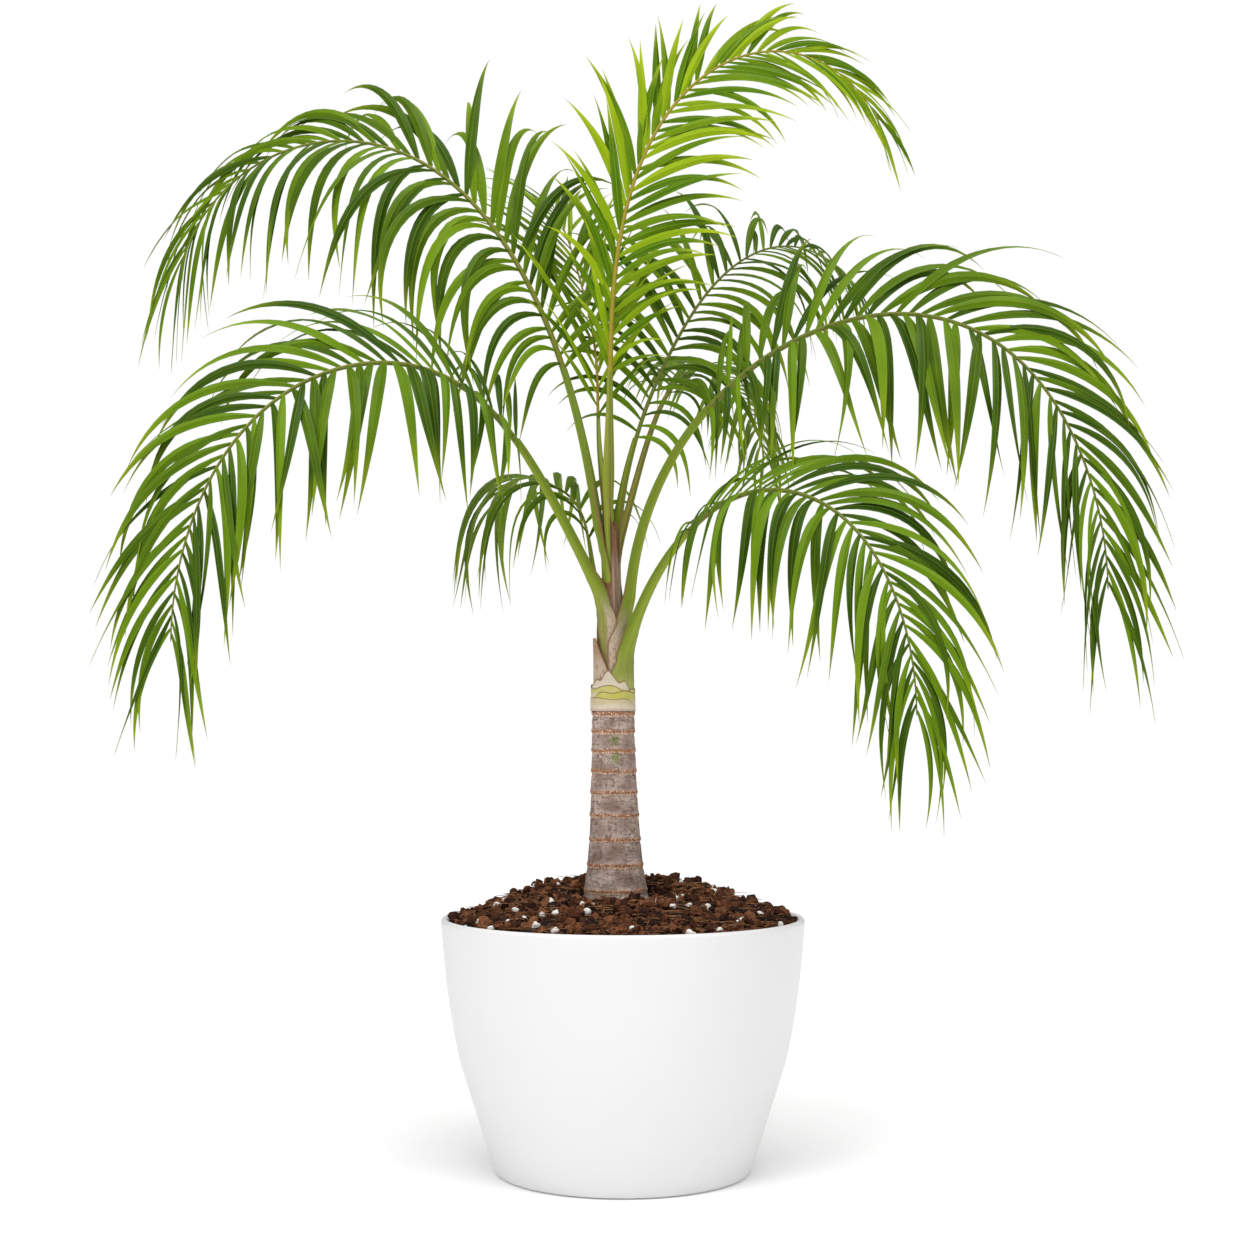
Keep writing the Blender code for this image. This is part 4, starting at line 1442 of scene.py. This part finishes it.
@dataclass
class Blade:
    """The rib and the leaflets of one frond."""

    frond: Frond
    rib: Rib
    leaf_finish: LeafFinish
    rib_finish: RibFinish
    steps: int = 15
    sides: int = 12
    widen: float = 0.30
    fold: float = 0.42
    thick: float = 0.0005
    room: float = 0.006
    near_limp: float = 2.3

    def _spread(self, angles: tuple[float, float, float], share: float) -> float:
        """The angle between leaflet and rib at a share of the blade."""
        foot, middle, tip = angles
        return blend(foot, middle, share * 2) if share < 0.5 else blend(middle, tip, share * 2 - 1)

    def _half(self, place: float) -> float:
        """Share of the full half width at a place along a leaflet."""
        if place < self.widen:
            return 0.35 + 0.65 * math.sin(place / self.widen * math.pi / 2)
        return math.cos((place - self.widen) / (1 - self.widen) * math.pi / 2) ** 1.15

    def _line(
        self,
        distance: float,
        side: int,
        chance: np.random.Generator,
    ) -> tuple[np.ndarray, np.ndarray, np.ndarray, float]:
        """Lays one leaflet's midrib by the frond's rule.

        Args:
            distance: distance along the rib.
            side: 1 or -1.
            chance: source of the small differences.

        Returns:
            Its points, its directions, its width directions and its full width.
        """
        frond, rib = self.frond, self.rib
        share = (distance / frond.length - frond.stalk) / (1 - frond.stalk)
        root, way = rib.at(distance)
        nearer = 1.0 if rib.side[1] < 0 else -1.0
        spreads = frond.spread_near if side * nearer > 0 else frond.spread_far
        upper = np.cross(rib.side, way)
        roll = math.radians(frond.roll) * nearer
        across = math.cos(roll) * rib.side - math.sin(roll) * upper
        above = math.sin(roll) * rib.side + math.cos(roll) * upper
        spread = math.radians(self._spread(spreads, share) + chance.uniform(-11, 11))
        rise = math.radians(frond.rise * (1 - 0.5 * share) + chance.uniform(-7, 7))
        sideways = math.cos(rise) * side * across + math.sin(rise) * above
        start = math.cos(spread) * way + math.sin(spread) * sideways
        if share < 0.3:
            fullness = blend(0.5, 1.0, math.sin(share / 0.3 * math.pi / 2))
        else:
            fullness = 1.0 - 0.32 * ((share - 0.3) / 0.7) ** 2
        length = frond.leaf * fullness * chance.uniform(0.87, 1.06)
        near_foot = 0.6 + 0.4 * min(1.0, share * 4)
        near_tip = 1 - 0.75 * max(0.0, share - 0.4)
        width = 0.95 * frond.leaf_width * near_foot * near_tip
        near_limp = self.near_limp if frond.age is Age.MATURE else 1.1
        limp = frond.limp * chance.uniform(0.75, 1.35) * (near_limp if side * nearer > 0 else 1.15)
        from_down = math.acos(max(-1.0, min(1.0, -start[2])))
        level = unit(np.array([start[0], start[1], 0.0]))
        wide = unit(way - (way @ start) * start)
        sway = chance.uniform(-0.32, 0.32)
        points = [root + (side * across * 0.55 + above * 0.55) * rib.radius(distance)]
        ways, widths = [], []
        for i in range(self.steps):
            bent = math.tan(from_down / 2) * math.exp(-limp * ((i + 0.5) / self.steps) ** 1.3)
            angle = 2 * math.atan(bent)
            along = math.sin(angle) * level - math.cos(angle) * UP
            along = unit(along + sway * (i / self.steps) * wide)
            wide = unit(wide - (wide @ along) * along)
            ways.append(along)
            widths.append(wide)
            points.append(points[-1] + along * length / self.steps)
        ways.append(ways[-1])
        widths.append(widths[-1])
        return np.array(points), np.array(ways), np.array(widths), width

    def _inside(self, points: np.ndarray) -> np.ndarray:
        """Draws a leaflet in towards its root until it is inside the frame's box."""
        low = np.array(CAD_BOX[0]) - self.room
        high = np.array(CAD_BOX[1]) + self.room
        for _ in range(20):
            if (points > low).all() and (points < high).all():
                break
            points = points[0] + (points - points[0]) * 0.95
        return points

    def _leaflet(self, joined: Joined, distance: float, side: int, chance: np.random.Generator) -> None:
        """Adds one leaflet: a thin folded blade with a raised midrib, run out to a point."""
        points, ways, widths, width = self._line(distance, side, chance)
        points = self._inside(points)
        ridges = np.cross(ways, widths)
        if ridges[: self.steps // 2, 2].sum() < 0:
            ridges = -ridges
        twist = math.radians(chance.uniform(-65, 65))
        shares = (-1.0, -0.5, -0.08, 0.0, 0.08, 0.5, 1.0, 0.5, 0.0, -0.5)
        is_top = (0.5, 0.0, 0.0, 0.0, 0.0, 0.0, 0.5, 1.0, 1.0, 1.0)
        rows, lay, under = [], [], []
        for i in range(self.steps):
            place = i / self.steps
            half = self._half(place) * width / 2
            turn = twist * place
            wide = math.cos(turn) * widths[i] + math.sin(turn) * ridges[i]
            ridge = math.cos(turn) * ridges[i] - math.sin(turn) * widths[i]
            fold = self.fold * (1.0 - 0.55 * place) * half
            thick = self.thick * (1.0 - 0.5 * place)
            for share, below in zip(shares, is_top):
                height = fold * (1.0 - abs(share) ** 1.25)
                if share == 0.0 and below == 0.0:
                    height += thick * 0.8
                if below == 1.0:
                    height -= thick * (1.6 if share == 0.0 else 1.0)
                rows.append(points[i] + wide * half * share + ridge * (height - fold * 0.6))
                lay.append((0.5 + share / 2, place))
                under.append(below)
        rows.append(points[-1])
        lay.append((0.5, 1.0))
        under.append(0.5)
        tone = np.full(len(rows), chance.uniform(0.0, 1.0))
        faces = loft(self.steps, len(shares), True)
        joined.add(np.array(rows), faces, np.array(lay), tone=tone, under=np.array(under))

    def _leaves(self) -> bpy.types.Object:
        """All leaflets of the frond as one piece."""
        frond = self.frond
        chance = np.random.default_rng(round(frond.turn + 900))
        joined = Joined()
        first = frond.length * frond.stalk
        blade = frond.length - first
        for number in range(frond.pairs):
            for side, offset in ((1, 0.30), (-1, 0.65)):
                shift = chance.uniform(-0.14, 0.14)
                distance = first + blade * (number + offset + shift) / frond.pairs
                self._leaflet(joined, distance, side, chance)
        return joined.piece(f"leaves_{frond.place}", self.leaf_finish.material(), 25.0)

    def _rib(self) -> bpy.types.Object:
        """The rib from the first leaflet to the tip."""
        frond, rib = self.frond, self.rib
        start = frond.stalk * frond.length - 0.003
        points, lay = [], []
        distances = np.linspace(start, frond.length, 90)
        for distance in distances:
            point, way = rib.at(float(distance))
            radius = rib.radius(float(distance))
            upper = unit(np.cross(rib.side, way))
            for i in range(self.sides):
                turn = 2 * math.pi * i / self.sides
                points.append(point + radius * (math.cos(turn) * rib.side + math.sin(turn) * upper))
                lay.append((i / self.sides, float(distance)))
        points.append(rib.at(frond.length)[0] + rib.ways[-1] * 0.004)
        lay.append((0.5, frond.length))
        joined = Joined()
        joined.add(np.array(points), loft(len(distances), self.sides, True), np.array(lay))
        return joined.piece(f"rib_{frond.place}", self.rib_finish.material(), 60.0)

    def build(self) -> list[bpy.types.Object]:
        """Builds the leaflets and the rib."""
        place = self.frond.place
        slot = "leaf_young" if self.frond.age is Age.YOUNG else "leaf_green"
        leaves, rib = self._leaves(), self._rib()
        settle(leaves, slot, f"frond_{place}_inner", f"frond_{place}_outer")
        settle(rib, slot)
        return [leaves, rib]


def shade(first: Colour, second: Colour, share: float) -> Colour:
    """A colour between two."""
    return tuple(blend(a, b, share) for a, b in zip(first, second))


@dataclass
class Crown:
    """The nine fronds on their nested bases, and the old base among them."""

    deep_old: Colour = (0.011, 0.036, 0.001)
    deep_young: Colour = (0.060, 0.160, 0.002)
    fresh_old: Colour = (0.092, 0.195, 0.003)
    fresh_young: Colour = (0.310, 0.440, 0.006)
    tip_old: Colour = (0.220, 0.310, 0.014)
    tip_young: Colour = (0.460, 0.560, 0.020)
    rib_old: Colour = (0.170, 0.190, 0.025)
    rib_young: Colour = (0.400, 0.230, 0.022)
    wraps: dict[str, tuple[float, float]] = field(
        default_factory=lambda: {
            "upper_right": (0.055, 0.0),
            "lower_left": (0.050, 0.0),
            "upper_left": (0.070, -0.30),
        }
    )
    collars: tuple[tuple[str, float, float, float, float, float, int, float], ...] = (
        ("collar_low", -72, 0.0311, 0.6270, 0.6400, 0.0090, 11, 0.3),
        ("collar_middle", -112, 0.0308, 0.6330, 0.6500, -0.0120, 12, 1.0),
        ("collar_high", -80, 0.0305, 0.6420, 0.6580, 0.0100, 13, 0.8),
    )

    def _leaf_finish(self, frond: Frond) -> LeafFinish:
        """The greens of one frond."""
        share = frond.fresh if frond.age is Age.YOUNG else frond.fresh * 0.6
        return LeafFinish(
            f"leaf_{frond.place}",
            deep=shade(self.deep_old, self.deep_young, share),
            fresh=shade(self.fresh_old, self.fresh_young, share),
            tip=shade(self.tip_old, self.tip_young, share),
            midrib=shade(self.rib_old, self.fresh_young, share),
            # The underside's pale grey-green, raised partly as a painted sheen.
            pale=shade((0.120, 0.195, 0.045), self.fresh_young, share * 0.7),
        )

    def _rib_finish(self, frond: Frond) -> RibFinish:
        """The rib's colours of one frond."""
        share = frond.fresh if frond.age is Age.YOUNG else frond.fresh * 0.3
        return RibFinish(
            f"rib_{frond.place}",
            ridge=shade(self.rib_old, self.rib_young, share),
            flank=shade((0.090, 0.150, 0.025), (0.300, 0.300, 0.030), share),
        )

    def _stem_finish(self, frond: Frond) -> StemFinish:
        """The colours of one leaf base."""
        stalk = (0.300, 0.380, 0.030)
        looks = {
            "lower_right": ((0.42, 0.43, 0.14), (0.27, 0.31, 0.055), stalk),
            "upper_right": ((0.40, 0.28, 0.15), (0.34, 0.26, 0.12), stalk),
            "back_left": ((0.40, 0.30, 0.16), (0.30, 0.30, 0.08), stalk),
            "lower_left": ((0.36, 0.25, 0.14), (0.30, 0.29, 0.08), stalk),
            "back_right_low": ((0.40, 0.25, 0.10), (0.42, 0.30, 0.06), (0.46, 0.36, 0.07)),
            "back_right": ((0.30, 0.26, 0.09), (0.30, 0.32, 0.06), stalk),
            "upper_left": ((0.30, 0.30, 0.07), (0.29, 0.36, 0.04), stalk),
            "back_young": ((0.30, 0.34, 0.06), (0.32, 0.40, 0.06), (0.36, 0.46, 0.06)),
            "top": ((0.30, 0.34, 0.06), (0.30, 0.38, 0.05), (0.42, 0.42, 0.06)),
        }
        foot, sheath, high = looks[frond.place]
        tall = frond.leave_height - 0.6523
        return StemFinish(
            f"stem_{frond.place}",
            foot,
            sheath,
            high,
            foot_height=tall * 0.55,
            sheath_height=tall * 1.1,
            dry=0.5 if frond.place in ("upper_right", "lower_left", "back_left") else 0.15,
            papery_from=0.45 if frond.place in ("lower_right", "upper_left", "top") else 0.17,
        )

    def _sheaths(self) -> list[bpy.types.Object]:
        """The dry collars, sheaths and scale between the green bases."""
        pieces = []
        tan = StemFinish(
            "tan_sheath",
            foot=(0.50, 0.41, 0.34),
            sheath=(0.44, 0.33, 0.25),
            stalk=(0.27, 0.15, 0.09),
            stripe_and_edge_shade=(0.30, 0.20, 0.14),
            foot_height=0.07,
            sheath_height=0.16,
            dry=1.0,
        )
        brown = StemFinish(
            "brown_sheath",
            foot=(0.28, 0.18, 0.12),
            sheath=(0.38, 0.26, 0.18),
            stalk=(0.30, 0.16, 0.09),
            stripe_and_edge_shade=(0.12, 0.065, 0.035),
            sheath_height=0.09,
            dry=1.0,
        )
        for name, turn, radius, foot, top, slant, seed, green in self.collars:
            ring = StemFinish(
                f"{name}_skin",
                foot=(0.50, 0.38, 0.29),
                sheath=(0.66, 0.56, 0.45),
                stalk=shade((0.60, 0.48, 0.36), (0.50, 0.47, 0.09), green),
                stripe_and_edge_shade=(0.60, 0.53, 0.34),
                foot_height=0.005,
                sheath_height=0.013,
                dry=0.05,
                papery_from=0.6,
                wander=0.005,
            )
            collar = PaperySheath(name, turn, (radius, radius), foot, top, 178, slant, seed, ring)
            collar.wall, collar.wrinkles = 0.0004, 0.0001
            pieces.append(collar.build())
        wide = PaperySheath("sheath_tan", -80, (0.0168, 0.0126), 0.6525, 0.802, 150, 0.016, 3, tan)
        narrow = PaperySheath("sheath_brown", -57, (0.0130, 0.0127), 0.770, 0.893, 27, 0.003, 5, brown)
        narrow.peak = -0.009
        scale_finish = StemFinish(
            "front_scale",
            foot=(0.50, 0.52, 0.14),
            sheath=(0.66, 0.56, 0.46),
            stalk=(0.60, 0.50, 0.40),
            stripe_and_edge_shade=(0.56, 0.54, 0.30),
            foot_height=0.022,
            sheath_height=0.03,
            dry=0.05,
            papery_from=0.6,
            wander=0.008,
        )
        scale = PaperySheath(
            "scale_front", -100, (0.0302, 0.0300), 0.6400, 0.6600, 66, 0.003, 8, scale_finish
        )
        scale.peak, scale.wall, scale.wrinkles = 0.020, 0.0003, 0.0001
        return [*pieces, wide.build(), narrow.build(), scale.build()]

    def build(self) -> list[bpy.types.Object]:
        """Builds every base and blade."""
        pieces = [OldBase().build(), *self._sheaths()]
        for frond in FRONDS:
            rib = Rib(frond)
            if frond.layer:
                taper, skew = self.wraps.get(frond.place, (0.085, 0.0))
                base = LeafBase(frond, rib, self._stem_finish(frond), taper=taper, skew=skew)
            else:
                base = Core(frond, rib, self._stem_finish(frond))
            pieces.append(base.build())
            pieces += Blade(frond, rib, self._leaf_finish(frond), self._rib_finish(frond)).build()
        return pieces


# Studio


@dataclass
class Studio:
    """A pale floor, soft light and the photograph's viewpoint."""

    camera_place: tuple[float, float, float] = (0.0055, -2.656, 0.5984)
    camera_tilt: float = 3.138
    lens: float = 54.87
    sensor: float = 36.0
    floor_size: float = 60.0
    light_aim: tuple[float, float, float] = (0.0, 0.0, 0.9)
    sky: float = 0.27
    overhead: float = 2.45
    overhead_spread: float = 56.0
    overhead_turn: tuple[float, float, float] = (11.0, 2.0, 0.0)

    def _floor(self) -> None:
        """A wide pale floor."""
        bpy.ops.mesh.primitive_plane_add(size=self.floor_size, location=(0, 0, 0))
        floor = bpy.context.object
        floor.name = "studio_floor"
        nodes = Nodes("studio_white")
        nodes.finish(0.65, (0.93, 0.93, 0.93), gloss=0.0)
        nodes.shader.inputs["Emission Color"].default_value = (1.0, 1.0, 1.0, 1.0)
        nodes.shader.inputs["Emission Strength"].default_value = 0.08
        floor.data.materials.append(nodes.material)

    def _light(
        self,
        name: str,
        place: tuple[float, float, float],
        size: float,
        power: float,
    ) -> None:
        """A square soft light at a place, aimed at the palm's middle.

        Args:
            name: name of the light.
            place: where it stands.
            size: length of its side.
            power: its power in watts.
        """
        data = bpy.data.lights.new(name, "AREA")
        data.energy = power
        data.size = size
        lamp = bpy.data.objects.new(name, data)
        lamp.location = place
        way = unit(np.array(self.light_aim) - np.array(place))
        lamp.rotation_euler = (math.acos(-way[2]), 0.0, math.atan2(way[1], way[0]) - math.pi / 2)
        bpy.context.scene.collection.objects.link(lamp)

    def _daylight(self) -> None:
        """A broad light from above, even over the whole floor."""
        data = bpy.data.lights.new("overhead", "SUN")
        data.energy = self.overhead
        data.angle = math.radians(self.overhead_spread)
        lamp = bpy.data.objects.new("overhead", data)
        lamp.rotation_euler = tuple(math.radians(turn) for turn in self.overhead_turn)
        bpy.context.scene.collection.objects.link(lamp)

    def _surround(self) -> None:
        """White all round, which lights the palm less than it shows."""
        world = bpy.data.worlds.new("studio_white_room")
        world.use_nodes = True
        tree = world.node_tree
        ground = tree.nodes["Background"]
        ground.inputs["Color"].default_value = (1.0, 1.0, 1.0, 1.0)
        path = tree.nodes.new("ShaderNodeLightPath")
        level = tree.nodes.new("ShaderNodeMapRange")
        level.inputs["To Min"].default_value = self.sky
        level.inputs["To Max"].default_value = 1.0
        tree.links.new(path.outputs["Is Camera Ray"], level.inputs["Value"])
        tree.links.new(level.outputs["Result"], ground.inputs["Strength"])
        bpy.context.scene.world = world

    def _camera(self) -> None:
        """The camera at the photograph's angle."""
        data = bpy.data.cameras.new("photo_view")
        data.lens = self.lens
        data.sensor_width = self.sensor
        camera = bpy.data.objects.new("photo_view", data)
        camera.location = self.camera_place
        camera.rotation_euler = (math.radians(90.0 + self.camera_tilt), 0.0, 0.0)
        bpy.context.scene.collection.objects.link(camera)
        bpy.context.scene.camera = camera

    def build(self) -> None:
        """Sets the floor, the lights, the surrounding white and the camera."""
        self._floor()
        self._light("key_light", (-1.6, -2.2, 2.6), 1.8, 40.0)
        self._light("side_light", (2.4, -1.4, 2.2), 1.6, 20.0)
        self._daylight()
        self._surround()
        bpy.context.scene.view_settings.view_transform = "Standard"
        self._camera()


def main() -> None:
    """Builds the palm over its frame, piece by piece, and logs each piece's faces."""
    logging.basicConfig(level=logging.INFO, format="%(message)s")
    Bench.clear()
    Studio().build()
    planter = Planter()
    pieces = [planter.build(), *Soil(planter).build(), Trunk().build(), *Crown().build()]
    for piece in pieces:
        report(piece)
    bpy.context.view_layer.update()


if __name__ == "__main__":
    main()
